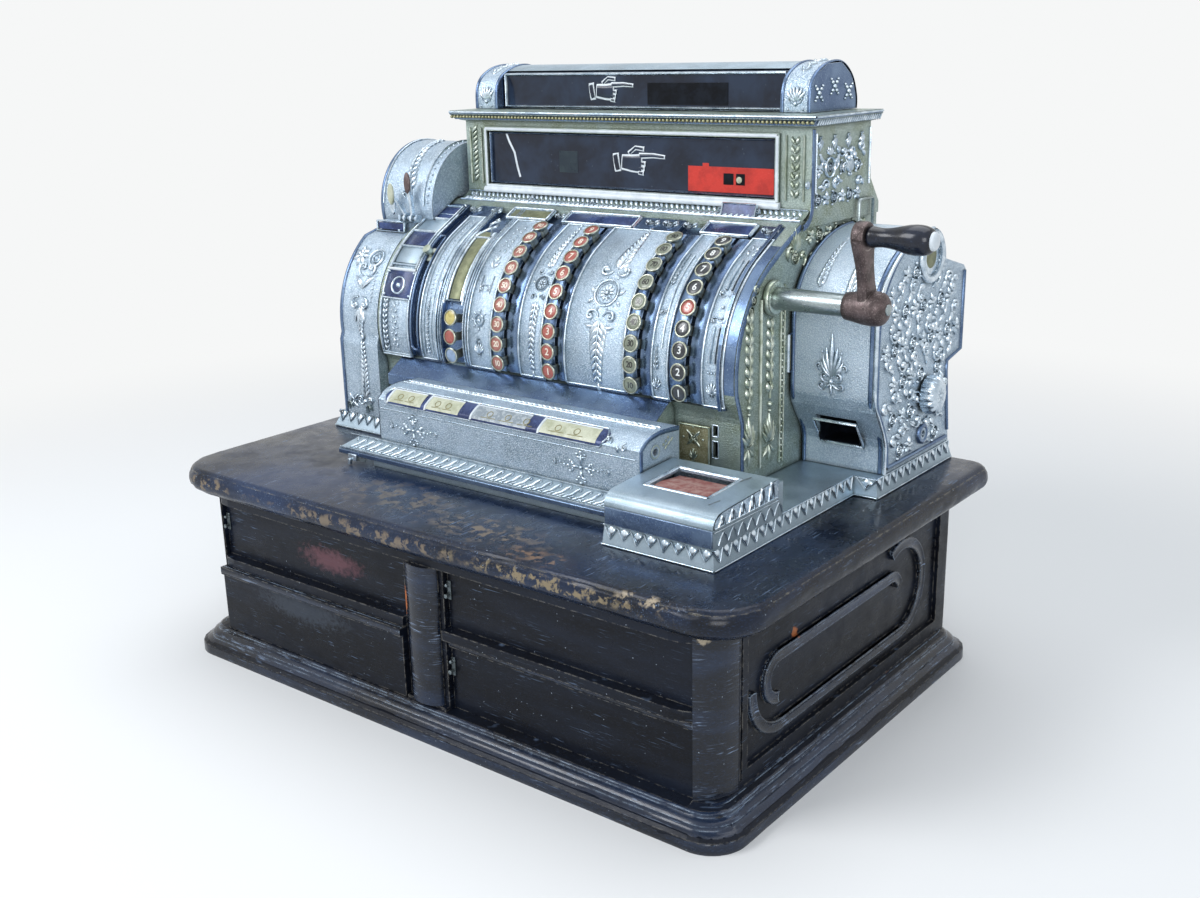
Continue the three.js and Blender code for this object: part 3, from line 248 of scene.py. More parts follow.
# Finishes, each from what the real one is
finishes = {
    # shellac over black stained wood: near black with a blue cast, brown and grey rubbed edges,
    # dust and scratches
    "ebonisedWood": {
        "base": "#0b0d13", "second": "#151b27", "patch": 90, "stretch": (0.25, 0.25, 1.6),
        "grain": 0.9, "grainAndPaintedGlintColour": "#1f2838", "grainRange": (0.56, 0.74), "rough": (0.2, 0.46),
        "coat": 0.06, "coatRough": 0.2, "shine": 0.14, "wearAndPaintedHighlight": "#6f6d68", "wearAndPaintedHighlightReach": 2.2,
        "wearAndPaintedHighlightPatch": 7, "wearAndPaintedHighlightRange": (0.44, 0.58), "streak": "#55657c",
        "streakStretch": (0.06, 0.06, 1.4), "streakSize": 1.6, "streakRange": (0.63, 0.7),
        "dust": "#97a3b0", "dustSize": 8, "dustDot": 0.045, "bumps": [(0.9, 0.05), (14, 0.25)],
        "spots": [ {"at": (-148, -233, 152), "reach": (75, 20, 22), "colour": "#63434a",
            "ragged": 6, "fade": 0.5, "share": 0.8},
            {"at": (-190, -246, 90), "reach": (110, 20, 26), "colour": "#39404a", "ragged": 5,
                "fade": 0.4, "share": 0.7},
                {"at": (349, -95.6, 148.7), "reach": (8, 8, 8), "colour": "#b66f43", "ragged": 6},
                {"at": (349, 67.8, 63.4), "reach": (8, 7, 5), "colour": "#a99d86", "ragged": 6},
                {"at": (-29, -236, 140), "reach": (5, 14, 26), "colour": "#b0683c", "ragged": 7,
                    "share": 0.9}]},
    # the same on rounded mouldings: the blue sheen is painted in as blue patches and grain, and the
    # pale ridges are rubbed wear with a painted highlight
    "ebonisedMoulding": {
        "base": "#0d121c", "second": "#22314a", "patch": 60, "patchRange": (0.46, 0.7),
        "stretch": (0.2, 0.2, 1.2), "grain": 0.9, "grainAndPaintedGlintColour": "#2a3b55",
        "grainRange": (0.56, 0.74), "rough": (0.14, 0.36), "coat": 0.25, "coatRough": 0.16,
        "shine": 0.3, "wearAndPaintedHighlight": "#93a5b8", "wearAndPaintedHighlightReach": 2.0, "wearAndPaintedHighlightPatch": 12,
        "wearAndPaintedHighlightRange": (0.4, 0.56), "streak": "#7688a2", "streakStretch": (0.06, 0.06, 1.2),
        "streakSize": 1.6, "streakRange": (0.6, 0.68), "dirtAndPaintedShade": "#77797a", "dirtAndPaintedShadeReach": 4.0,
        "dirtAndPaintedShadeFrom": 0.1, "dirtAndPaintedShadeShare": 0.35, "dust": "#a7b3c0", "dustSize": 7, "dustDot": 0.05,
        "bumps": [(0.9, 0.04), (12, 0.3)],
        "spots": [{"at": (-23, -251, 140), "reach": (4, 12, 24), "colour": "#b0683c", "ragged": 9,
            "share": 0.9}, {"at": (352, -95.6, 148.7), "reach": (8, 7, 7), "colour": "#b66f43",
            "ragged": 6}, {"at": (352, 63.8, 85.6), "reach": (8, 6, 10), "colour": "#b66f43",
            "ragged": 6}, {"at": (338, -233, 190), "reach": (9, 9, 8), "colour": "#a99d86",
            "ragged": 6}, {"at": (352, 95.5, 36.1), "reach": (8, 9, 6), "colour": "#b66f43",
            "ragged": 6}]},
    # the same shellac on the top, seen flat: the sky it mirrors is painted in as blue patches and
    # grain, and it is rubbed pale in places
    "ebonisedTop": {
        "base": "#0d1119", "second": "#20304c", "patch": 120, "stretch": (0.4, 0.3, 1),
        "grain": 0.9, "grainAndPaintedGlintColour": "#2c3d5a", "grainRange": (0.55, 0.75), "rough": (0.14, 0.4),
        "coat": 0.12, "coatRough": 0.14, "shine": 0.2, "wearAndPaintedHighlight": "#8a8474", "wearAndPaintedHighlightReach": 2.5,
        "wearAndPaintedHighlightPatch": 9, "wearAndPaintedHighlightRange": (0.44, 0.56), "streak": "#6c82a0",
        "streakStretch": (0.9, 0.05, 1), "streakSize": 1.4, "streakRange": (0.62, 0.7),
        "dust": "#a9b6c4", "dustSize": 7, "dustDot": 0.05, "bumps": [(0.9, 0.04), (16, 0.3)],
        "spots": [ {"at": (-240, -120, 228), "reach": (130, 120, 8), "colour": "#2a2a28",
            "ragged": 30, "fade": 0.7, "share": 0.8},
            {"at": (-75, -195, 228), "reach": (120, 60, 8), "colour": "#6a6156", "flakes": 13,
                "fade": 0.5, "share": 0.8},
                {"at": (70, -215, 228), "reach": (120, 45, 8), "colour": "#766b5d", "flakes": 11,
                    "fade": 0.5, "share": 0.85},
                    {"at": (150, -240, 228), "reach": (60, 24, 8), "colour": "#7c6450",
                        "flakes": 9, "fade": 0.5, "share": 0.85},
                        {"at": (-60, -261, 213), "reach": (260, 9, 13), "colour": "#75695a",
                            "flakes": 12, "fade": 0.4, "share": 0.9},
                            {"at": (180, -262, 215), "reach": (190, 10, 13), "colour": "#85785f",
                                "flakes": 10, "fade": 0.4, "share": 0.9},
                                {"at": (295, -262, 224), "reach": (50, 16, 8), "colour": "#a59883",
                                    "flakes": 10, "fade": 0.4, "share": 0.95},
                                    {"at": (-320, -262, 215), "reach": (70, 12, 13),
                                        "colour": "#7d6f5c", "flakes": 9, "fade": 0.4,
                                        "share": 0.9},
                                        # a wide blue patch on the right: painted reflection of the
                                        # sky
                                        {"at": (250, -90, 228), "reach": (140, 130, 9),
                                            "colour": "#3b5277", "ragged": 30, "fade": 0.9,
                                            "share": 0.7}]},
    # nickel plate over a cast, stippled ground: satin, pale specks painted as glints, olive tarnish
    # and painted shade in the hollows
    "stippledNickel": {
        "base": "#9db3c7", "second": "#8298ab", "patch": 45, "grain": 0.9,
        "grainAndPaintedGlintColour": "#dbe8f2", "grainRange": (0.5, 0.58), "rough": (0.28, 0.46), "metal": 0.7,
        "dirtAndPaintedShade": "#2f3a33", "dirtAndPaintedShadeReach": 5.0, "dirtAndPaintedShadeFrom": 0.3, "dirtAndPaintedShadeShare": 0.9,
        "bumps": [(1.5, 0.4, "pits"), (0.6, 0.12)]},
    # the same ground on the sides, a little yellowed by tarnish, with pale specks painted as glints
    "tarnishedNickel": {
        "base": "#8f9f9a", "second": "#7c8872", "patch": 40, "patchRange": (0.44, 0.64),
        "grain": 0.9, "grainAndPaintedGlintColour": "#c2cfc8", "grainRange": (0.5, 0.6), "rough": (0.3, 0.48),
        "metal": 0.7, "dirtAndPaintedShade": "#30362b", "dirtAndPaintedShadeReach": 6.0, "dirtAndPaintedShadeFrom": 0.3, "dirtAndPaintedShadeShare": 0.9,
        "bumps": [(1.5, 0.35, "pits"), (0.6, 0.1)]},
    # nickel relief, polished where hands and cloths reach it, its pale colour partly a painted
    # highlight on the raised tops
    "reliefWithPaintedHighlight": {
        "base": "#d6e3ee", "second": "#a9bac9", "patch": 14, "grain": 1.6, "rough": (0.18, 0.34),
        "metal": 0.95, "dirtAndPaintedShade": "#3a443f", "dirtAndPaintedShadeReach": 2.2, "dirtAndPaintedShadeFrom": 0.3, "dirtAndPaintedShadeShare": 0.8,
        "bumps": [(2.2, 0.06)]},
    # relief on the sides, duller
    "tarnishedRelief": {
        "base": "#c6d0c6", "second": "#9aa694", "patch": 16, "grain": 1.6, "rough": (0.22, 0.4),
        "metal": 0.9, "dirtAndPaintedShade": "#343a2e", "dirtAndPaintedShadeReach": 2.6, "dirtAndPaintedShadeFrom": 0.3, "dirtAndPaintedShadeShare": 0.85,
        "bumps": [(2.2, 0.06)]},
    # flat nickel bands, polished: the dark of the room they mirror is painted in as dark blue, with
    # wear and painted highlight on the edges
    "bandWithPaintedReflection": {
        "base": "#54698a", "second": "#7187a4", "patch": 60, "grain": 1.5,
        "grainAndPaintedGlintColour": "#8ba0b8", "grainRange": (0.56, 0.7), "rough": (0.18, 0.38), "metal": 0.9,
        "dirtAndPaintedShade": "#222933", "dirtAndPaintedShadeReach": 4.0, "dirtAndPaintedShadeShare": 0.8, "wearAndPaintedHighlight": "#c3d3e2", "wearAndPaintedHighlightReach": 1.2,
        "wearAndPaintedHighlightRange": (0.3, 0.5), "wearAndPaintedHighlightRough": 0.0, "bumps": [(5, 0.05), (0.7, 0.02)]},
    # steel with a brown patina
    "brownIron": {
        "base": "#4c4343", "second": "#695c5c", "patch": 14, "grain": 1.4,
        "grainAndPaintedGlintColour": "#857a79", "grainRange": (0.54, 0.7), "rough": (0.35, 0.55), "metal": 0.75,
        "dirtAndPaintedShade": "#221c1c", "dirtAndPaintedShadeReach": 3.0, "wearAndPaintedHighlight": "#a59a96", "wearAndPaintedHighlightReach": 1.0,
        "bumps": [(3.0, 0.12)]},
    # bright turned steel
    "turnedSteel": {
        "base": "#9ba7aa", "second": "#7e8a88", "patch": 20, "stretch": (0.2, 1, 1), "grain": 0.8,
        "grainAndPaintedGlintColour": "#c6cfd2", "rough": (0.24, 0.38), "metal": 0.95, "bumps": [(0.7, 0.02)]},
    # hard rubber, turned and polished
    "ebonite": {
        "base": "#10131b", "second": "#1d2433", "patch": 25, "grain": 2.0,
        "grainAndPaintedGlintColour": "#2a3447", "grainRange": (0.6, 0.75), "rough": (0.14, 0.3), "coat": 0.2,
        "coatRough": 0.1, "shine": 0.3, "bumps": [(3, 0.03)]},
    # clear sheet drawn as an opaque dark colour, the painted shade of the unlit inside, with dust
    # on it
    "glassWithPaintedShade": {
        "base": "#161d2b", "second": "#243145", "patch": 60, "grain": 3.0, "rough": (0.08, 0.22),
        "dust": "#93a1af", "dustSize": 6, "dustDot": 0.03, "coat": 0.15, "coatRough": 0.08,
        "shine": 0.3, "bumps": [(30, 0.05)]},
    # nickelled key cups and stems: worn pale, with dirt and painted shade where they meet the plate
    "keyMetal": {
        "base": "#b3b7a8", "second": "#8d9183", "patch": 8, "grain": 1.0, "grainAndPaintedGlintColour": "#cfd3c6",
        "rough": (0.25, 0.45), "metal": 0.9, "dirtAndPaintedShade": "#403f33", "dirtAndPaintedShadeReach": 2.0,
        "bumps": [(1.5, 0.05)]},
    # plain steel catches: blue grey, dull, with dirt and painted shade in the corners
    "catchMetal": {
        "base": "#6f7a80", "second": "#58605f", "patch": 6, "grain": 1.0, "grainAndPaintedGlintColour": "#8f9aa0",
        "rough": (0.35, 0.55), "metal": 0.8, "dirtAndPaintedShade": "#22262a", "dirtAndPaintedShadeReach": 3.0,
        "bumps": [(1.5, 0.08)]},
    # old detail paper under the lid: faded red, matt and slightly creased
    "redPaper": {
        "base": "#86504a", "second": "#a3837b", "patch": 9, "patchRange": (0.4, 0.6), "grain": 0.8,
        "grainAndPaintedGlintColour": "#5e3a38", "grainRange": (0.52, 0.7), "rough": (0.6, 0.8),
        "bumps": [(1.2, 0.15), (9, 0.4)]},
    # brushed nickel sheet: pale blue grey with a soft sheen
    "satinNickel": {
        "base": "#9fb2c0", "second": "#8c9fac", "patch": 60, "grain": 0.7,
        "grainAndPaintedGlintColour": "#c0cdd6", "grainRange": (0.5, 0.7), "rough": (0.34, 0.5), "metal": 0.88,
        "dirtAndPaintedShade": "#3d4741", "dirtAndPaintedShadeReach": 4.0, "bumps": [(0.8, 0.07)]},
    # baked blue lacquer over metal: dark, thin and worn to lighter grains
    "blueLacquer": {
        "base": "#222f55", "second": "#3c4e7c", "patch": 25, "grain": 1.2,
        "grainAndPaintedGlintColour": "#64769c", "grainRange": (0.58, 0.74), "rough": (0.2, 0.36), "metal": 0.1,
        "coat": 0.1, "coatRough": 0.14, "shine": 0.3, "bumps": [(4, 0.06)]},
    # cream card behind a varnish: yellowed specks, a slight gloss
    "creamPaper": {
        "base": "#bfc3ae", "second": "#a2a78d", "patch": 12, "grain": 0.9,
        "grainAndPaintedGlintColour": "#8f8a63", "grainRange": (0.55, 0.75), "rough": (0.35, 0.55), "coat": 0.3,
        "bumps": [(2, 0.05)]},
    # printed grey card: uneven, with darker worn grains
    "greyPaper": {
        "base": "#a4aeb4", "second": "#7f8b93", "patch": 6, "patchRange": (0.46, 0.56),
        "grain": 0.8, "grainAndPaintedGlintColour": "#5f6a74", "grainRange": (0.54, 0.66), "rough": (0.3, 0.5),
        "coat": 0.3, "bumps": [(2, 0.05)]},
    # white enamel: cool, even and softly glossy
    "whiteEnamel": {
        "base": "#dde5ea", "second": "#cdd6dc", "patch": 20, "rough": (0.25, 0.4),
        "bumps": [(3, 0.04)]},
    # faded printing ink: brown and matt
    "faintInk": {
        "base": "#8d875c", "second": "#6f6a48", "patch": 3, "rough": (0.4, 0.6),
        "bumps": [(1, 0.03)]},
    # olive enamel gone dull over metal: fine dark grains
    "oliveEnamel": {
        "base": "#6e7358", "second": "#868a6c", "patch": 10, "grain": 0.8,
        "grainAndPaintedGlintColour": "#4f543f", "grainRange": (0.54, 0.7), "rough": (0.35, 0.55), "metal": 0.4,
        "bumps": [(1.2, 0.08)]},
    # red enamel plate: warm and even, under a thin gloss
    "redEnamel": {
        "base": "#c9392f", "second": "#b02f28", "patch": 18, "grain": 1.2,
        "grainAndPaintedGlintColour": "#d85548", "grainRange": (0.55, 0.75), "rough": (0.3, 0.5), "coat": 0.1,
        "coatRough": 0.12, "shine": 0.3, "bumps": [(3, 0.05)]},
    # black paint: nearly no reflection, faint grey patches
    "blackPaint": {
        "base": "#0b0e14", "second": "#161b24", "patch": 14, "rough": (0.3, 0.5), "shine": 0.12,
        "bumps": [(5, 0.05)]},
    # nickel worn to its yellow undercoat: warm, pitted, dirt and painted shade in the corners
    "yellowedNickel": {
        "base": "#a39f7c", "second": "#7f7c5c", "patch": 14, "grain": 1.0,
        "grainAndPaintedGlintColour": "#c6c4a6", "grainRange": (0.5, 0.62), "rough": (0.32, 0.5), "metal": 0.6,
        "dirtAndPaintedShade": "#4a452c", "dirtAndPaintedShadeReach": 5, "bumps": [(1.4, 0.15, "pits")]},
    # dark tablet seen through the glass: barely lighter than its surroundings
    "dimTablet": {
        "base": "#222e38", "second": "#2d3a40", "patch": 12, "rough": (0.2, 0.4), "shine": 0.3,
        "bumps": [(3, 0.05)]},
    # nickel rubbed down to brass on raised beads: a warm grey yellow
    "brassRelief": {
        "base": "#a9a884", "second": "#8b8a64", "patch": 10, "grain": 0.8,
        "grainAndPaintedGlintColour": "#c9c8a8", "grainRange": (0.5, 0.7), "rough": (0.28, 0.45), "metal": 0.85,
        "dirtAndPaintedShade": "#3b3a28", "dirtAndPaintedShadeReach": 3, "bumps": [(1.5, 0.05)]},
    # bright stippled nickel: a lighter copy of the stippled nickel, painted light for the lit slip
    # printer front; small pits, pale specks painted as glints
    "stippleWithPaintedLight": {
        "base": "#b6cadb", "second": "#9fb5c8", "patch": 50, "grain": 0.9,
        "grainAndPaintedGlintColour": "#e2edf5", "grainRange": (0.5, 0.58), "rough": (0.3, 0.46), "metal": 0.55,
        "dirtAndPaintedShade": "#36413f", "dirtAndPaintedShadeReach": 5, "dirtAndPaintedShadeFrom": 0.3, "bumps": [(1.5, 0.4, "pits")]},
}
materials = {name: makeFinish(name, look) for name, look in finishes.items()}
print("finishes made:", len(materials))


# Floor, backdrop and soft studio lamps: power in watts, size and place in metres
studio = {
    "floor": "#ecedec", "floorHalf": 6.0, "floorGrain": 3, "floorShine": 0.1, "backdrop": "#f6f7f7",
    "world": "#dfe6ef", "worldLight": 0.62, "fadeFrom": 0.75, "fadeTo": 1.9,
    "lampColour": "#fbfcff", "aim": (0, 0, 0.3),
    "lamps": {"key": (42, 1.3, (-1.3, -1.9, 2.0)), "fill": (24, 1.2, (1.6, -2.0, 1.1)),
        "top": (20, 1.8, (0.1, 0.5, 2.3))},
}


def greater(tree, one, other):
    return addNode(tree, "Math", {"operation": "MAXIMUM"}, {0: one, 1: other}).outputs[0]


def seenDirectly(tree):  # 1 for rays of the camera, of reflections and through glass
    paths = addNode(tree, "LightPath").outputs
    seen = greater(tree, paths["Is Camera Ray"], paths["Is Glossy Ray"])
    return greater(tree, seen, paths["Is Transmission Ray"])


def makeWorld():
    world = bpy.data.worlds.new("studio")
    scene.world = world
    world.use_nodes = True
    tree = world.node_tree
    tree.nodes.clear()
    light = addNode(tree, "Background", {}, {
        "Color": linear(studio["world"]), "Strength": studio["worldLight"]})
    backdrop = addNode(tree, "Background", {}, {
        "Color": linear(studio["backdrop"]), "Strength": 1.0})
    mixed = addNode(tree, "MixShader", {}, {
        0: seenDirectly(tree), 1: light.outputs[0], 2: backdrop.outputs[0]})
    addNode(tree, "OutputWorld", {}, {0: mixed.outputs[0]})


def makeFloor():
    material = bpy.data.materials.new("paleFloor")
    material.use_nodes = True
    tree = material.node_tree
    tree.nodes.clear()
    place = addNode(tree, "NewGeometry").outputs["Position"]
    grain = patchMask(tree, place, studio["floorGrain"], 0.3, 0.7, 3.0, 0.7, 0.85)
    paint = addNode(tree, "BsdfPrincipled", {}, {
        "Base Color": linear(studio["floor"]), "Roughness": grain,
        "Specular IOR Level": studio["floorShine"]})
    # away from the register the floor passes into the backdrop, close by it keeps the shadow
    away = addNode(tree, "VectorMath", {"operation": "LENGTH"}, {0: place}).outputs["Value"]
    far = addNode(tree, "MapRange", {"interpolation_type": "SMOOTHSTEP"}, {
        "Value": away, "From Min": studio["fadeFrom"], "From Max": studio["fadeTo"]}).outputs[0]
    far = addNode(tree, "Math", {"operation": "MULTIPLY"}, {
        0: far, 1: seenDirectly(tree)}).outputs[0]
    backdrop = addNode(tree, "Emission", {}, {
        "Color": linear(studio["backdrop"]), "Strength": 1.0})
    mixed = addNode(tree, "MixShader", {}, {0: far, 1: paint.outputs[0], 2: backdrop.outputs[0]})
    addNode(tree, "OutputMaterial", {}, {"Surface": mixed.outputs[0]})
    mesh = bpy.data.meshes.new("studio_floor")
    r = studio["floorHalf"]
    mesh.from_pydata([(-r, -r, 0), (r, -r, 0), (r, r, 0), (-r, r, 0)], [], [(0, 1, 2, 3)])
    mesh.materials.append(material)
    floor = bpy.data.objects.new("studio_floor", mesh)
    scene.collection.objects.link(floor)


def makeLamps():
    for name, (power, size, at) in studio["lamps"].items():
        data = bpy.data.lights.new("lamp_" + name, "AREA")
        data.energy = power
        data.size = size
        data.color = linear(studio["lampColour"])[:3]
        lamp = bpy.data.objects.new("lamp_" + name, data)
        lamp.location = at
        aim = Vector(studio["aim"]) - Vector(at)
        lamp.rotation_euler = aim.to_track_quat("-Z", "Y").to_euler()
        scene.collection.objects.link(lamp)


makeWorld()
makeFloor()
makeLamps()
print("studio lit")


# Mesh helpers: points are in millimetres, in the register's own frame
bevelLook = {"segments": 2, "angle": 40}


# shape is (points, faces); edges sharper than the angle in degrees show, round bevels them
def addPiece(name, shape, finish, body="register", slot="nickel", sharp=60, round=0.0):
    points, faces = shape
    mesh = bpy.data.meshes.new(name)
    mesh.from_pydata([tuple(v / 1000 for v in p) for p in points], [], faces)
    mesh.validate()
    mesh.shade_smooth()
    mesh.set_sharp_from_angle(angle=radians(sharp))
    mesh.materials.append(materials[finish] if isinstance(finish, str) else finish)
    piece = bpy.data.objects.new(name, mesh)
    scene.collection.objects.link(piece)
    if round:
        edge = piece.modifiers.new("edge", "BEVEL")
        edge.width = round / 1000
        edge.segments = bevelLook["segments"]
        edge.limit_method = "ANGLE"
        edge.angle_limit = radians(bevelLook["angle"])
    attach(piece, body)
    return piece


def flipped(shape):  # faces turned to the other side
    points, faces = shape
    return points, [face[::-1] for face in faces]


def straight(u, v, du, dv, parts):  # a straight row of points from (u, v)
    return [(u + du * k / parts, v + dv * k / parts) for k in range(parts + 1)]


def sheetShape(rings):  # an open sheet
    return loftShape(rings, closed=False, caps=False)


def rollShape(path, x, wide, rise, lift):  # a half-round roll along an edge
    rings = []
    for k in range(9):
        t = pi * k / 8
        out = pushedOut(path, rise * sin(t) + lift)
        rings.append([(x - wide * cos(t), y, z) for y, z in out])
    return sheetShape(rings)


def joined(*shapes):
    points, faces = [], []
    for shapePoints, shapeFaces in shapes:
        start = len(points)
        points.extend(shapePoints)
        faces.extend(tuple(start + i for i in face) for face in shapeFaces)
    return points, faces


def boxShape(x0, x1, y0, y1, z0, z1):
    points = [(x, y, z) for z in (z0, z1) for x, y in ((x0, y0), (x1, y0), (x1, y1), (x0, y1))]
    return points, [(3, 2, 1, 0), (4, 5, 6, 7), (0, 1, 5, 4), (1, 2, 6, 5), (2, 3, 7, 6),
        (3, 0, 4, 7)]


def prismShape(outline, x0, x1):  # a y-z outline drawn out along x
    n = len(outline)
    points = [(x, y, z) for x in (x0, x1) for y, z in outline]
    faces = [tuple(range(n)), tuple(range(2 * n - 1, n - 1, -1))]
    faces += [(i, i + n, (i + 1) % n + n, (i + 1) % n) for i in range(n)]
    return points, faces


def loftShape(rings, closed=True, caps=True):
    n = len(rings[0])
    points = [p for ring in rings for p in ring]
    faces = []
    for r in range(len(rings) - 1):
        for i in range(n if closed else n - 1):
            j = (i + 1) % n
            faces.append((r * n + i, r * n + j, (r + 1) * n + j, (r + 1) * n + i))
    if caps:
        faces.append(tuple(reversed(range(n))))
        faces.append(tuple(range((len(rings) - 1) * n, len(rings) * n)))
    return points, faces


def turnedShape(profile, centre, axis, sides=48):  # profile: (distance along the axis, radius)
    axis = Vector(axis).normalized()
    side = axis.orthogonal().normalized()
    other = axis.cross(side)
    rings = []
    for along, radius in profile:
        middle = Vector(centre) + axis * along
        ring = []
        for i in range(sides):
            a = 2 * pi * i / sides
            ring.append(tuple(middle + side * (radius * cos(a)) + other * (radius * sin(a))))
        rings.append(ring)
    return loftShape(rings)


def arcPoints(y, z, radius, start, end, steps=24):  # degrees, 0 to the front and 90 upward
    angles = [radians(start + (end - start) * i / steps) for i in range(steps + 1)]
    return [(y - radius * cos(a), z + radius * sin(a)) for a in angles]


# Raised ornament is drawn flat as (u, v, height) and then laid on a surface
class Relief:
    def __init__(self):
        self.points = []
        self.faces = []

    def ridge(self, path, width, height, taper=(1.0, 1.0), belly=0.0, sections=5):
        # a half-round bar along a path; taper is its share of the width at each end, belly
        # swells it between
        start = len(self.points)
        count = len(path)
        for i, (u, v) in enumerate(path):
            share = i / max(1, count - 1)
            before, after = path[max(0, i - 1)], path[min(count - 1, i + 1)]
            du, dv = after[0] - before[0], after[1] - before[1]
            length = hypot(du, dv) or 1
            swell = taper[0] + (taper[1] - taper[0]) * share + belly * sin(pi * share)
            for k in range(sections):
                a = pi * k / (sections - 1)
                off = cos(a) * width / 2 * swell
                lift = sin(a) * height * min(1, swell) - (0.25 if k in (0, sections - 1) else 0)
                self.points.append((u - dv / length * off, v + du / length * off, lift))
        for i in range(count - 1):
            for k in range(sections - 1):
                a = start + i * sections + k
                self.faces.append((a, a + 1, a + sections + 1, a + sections))

    def bead(self, u, v, radius, height=None, sides=8):
        height = radius * 0.8 if height is None else height
        start = len(self.points)
        for share, lift in ((1.0, -0.2), (0.8, 0.6), (0.42, 0.93)):
            for i in range(sides):
                a = 2 * pi * i / sides
                self.points.append((u + radius * share * cos(a), v + radius * share * sin(a),
                    height * lift))
        self.points.append((u, v, height))
        for ring in range(2):
            for i in range(sides):
                a, b = start + ring * sides + i, start + ring * sides + (i + 1) % sides
                self.faces.append((a, b, b + sides, a + sides))
        top = start + 3 * sides
        for i in range(sides):
            self.faces.append((start + 2 * sides + i, start + 2 * sides + (i + 1) % sides, top))

    def ring(self, u, v, radius, width, height, sides=28):
        path = [(u + radius * cos(2 * pi * i / sides), v + radius * sin(2 * pi * i / sides))
                for i in range(sides + 1)]
        self.ridge(path, width, height)

    def leaf(self, u, v, length, angle, width=None, height=1.2, bend=0.0):
        # a drop-shaped lobe that starts thin, swells and ends in a point
        width = length * 0.34 if width is None else width
        path, heading = [(u, v)], radians(angle)
        steps = 6
        for _ in range(steps):
            heading += radians(bend) / steps
            u += cos(heading) * length / steps
            v += sin(heading) * length / steps
            path.append((u, v))
        self.ridge(path, width, height, taper=(0.25, 0.08), belly=0.85)
        return path[-1]

    def scroll(self, u, v, size, angle, hand=1, width=2.4, height=1.5, turns=1.3):
        # a curl that winds in to a bead; u, v is its outer end, angle the way it sets off
        steps = 26
        heading = radians(angle)
        path = [(u, v)]
        total = turns * 2 * pi
        for i in range(steps):
            share = i / steps
            step = size * 2 * pi * turns / steps * (1 - 0.82 * share) * 0.55
            heading += hand * total / steps * (0.55 + 0.9 * share)
            u += cos(heading) * step
            v += sin(heading) * step
            path.append((u, v))
        self.ridge(path, width, height, taper=(0.5, 0.55), belly=0.5)
        self.bead(u, v, width * 0.62, height)

    def sprig(self, u, v, length, angle, pairs, leafLength, open=42.0, bend=0.0, tipShare=0.45,
              bar=1.6):
        # a stem with pairs of leaves that get smaller toward its tip
        heading = radians(angle)
        path = [(u, v)]
        for i in range(pairs):
            heading += radians(bend) / pairs
            share = i / max(1, pairs - 1)
            size = leafLength * (1 - (1 - tipShare) * share)
            for hand in (1, -1):
                way = degrees(heading) + hand * open
                self.leaf(u, v, size, way, size * 0.4, 1.5, bend=-hand * 30)
            u += cos(heading) * length / pairs
            v += sin(heading) * length / pairs
            path.append((u, v))
        self.leaf(u, v, leafLength * tipShare * 1.3, degrees(heading), None, 1.5)
        self.ridge(path, bar, 1.3, taper=(1.2, 0.5))

    def palmette(self, u, v, size, angle, lobes=7, spread=150.0):
        for i in range(lobes):
            share = i / (lobes - 1) - 0.5
            length = size * (1 - 0.55 * abs(share) * 1.2)
            self.leaf(u, v, length, angle + share * spread, size * 0.2, 1.8, bend=share * -60)
        side = radians(angle + 90)
        for hand in (1, -1):
            du, dv = cos(side) * hand, sin(side) * hand
            self.scroll(u + du * size * 0.1, v + dv * size * 0.1, size * 0.16,
                        angle + 180 - hand * 50, hand, size * 0.07)
        self.bead(u, v, size * 0.09)

    def rosette(self, u, v, radius, petals=8):
        self.ring(u, v, radius, radius * 0.13, 1.2)
        self.ring(u, v, radius * 0.8, radius * 0.07, 0.8)
        for i in range(petals):
            a = 360 * i / petals
            self.leaf(u + cos(radians(a)) * radius * 0.16, v + sin(radians(a)) * radius * 0.16,
                      radius * 0.52, a, radius * 0.26, 1.4)
        self.bead(u, v, radius * 0.17, 1.8)

    def beads(self, u0, v0, u1, v1, spacing, radius, height=None):
        count = max(1, round(hypot(u1 - u0, v1 - v0) / spacing))
        for i in range(count + 1):
            self.bead(u0 + (u1 - u0) * i / count, v0 + (v1 - v0) * i / count, radius, height)

    def leafRow(self, u0, v0, u1, v1, spacing, length, lean):
        count = max(1, round(hypot(u1 - u0, v1 - v0) / spacing))
        way = degrees(atan2(v1 - v0, u1 - u0))
        for i in range(count + 1):
            self.leaf(u0 + (u1 - u0) * i / count, v0 + (v1 - v0) * i / count, length, way + lean,
                      length * 0.36, 1.3)

    # laid on a surface; bold makes all of it higher
    def place(self, name, surface, finish="reliefWithPaintedHighlight", body="register", slot="nickel",
              bold=1.5):
        points = [surface(u, v, h * bold) for u, v, h in self.points]
        return addPiece(name, (points, self.faces), finish, body, slot, sharp=80)


def plane(origin, across, upward, outward):
    origin, across, upward, outward = (Vector(v) for v in (origin, across, upward, outward))
    return lambda u, v, h: tuple(origin + across * u + upward * v + outward * h)


def wall(x):  # the right side of something, u along y and v along z
    return plane((x, 0, 0), (0, 1, 0), (0, 0, 1), (1, 0, 0))


def leaning(point, across, outward, run, height):  # a wall that leans in by run over its height
    slope = hypot(run, height)
    upward = (-outward[0] * run / slope, -outward[1] * run / slope, height / slope)
    outward = (outward[0] * height / slope, outward[1] * height / slope, run / slope)
    return plane(point, across, upward, outward)


def front(y):
    return plane((0, y, 0), (1, 0, 0), (0, 0, 1), (0, -1, 0))


def rectangleRidge(work, u0, u1, v0, v1, width, height, parts=6):
    for (a, b), (c, d) in (((u0, v0), (u1, v0)), ((u1, v0), (u1, v1)), ((u1, v1), (u0, v1)),
            ((u0, v1), (u0, v0))):
        work.ridge(straight(a, b, c - a, d - b, parts), width, height)


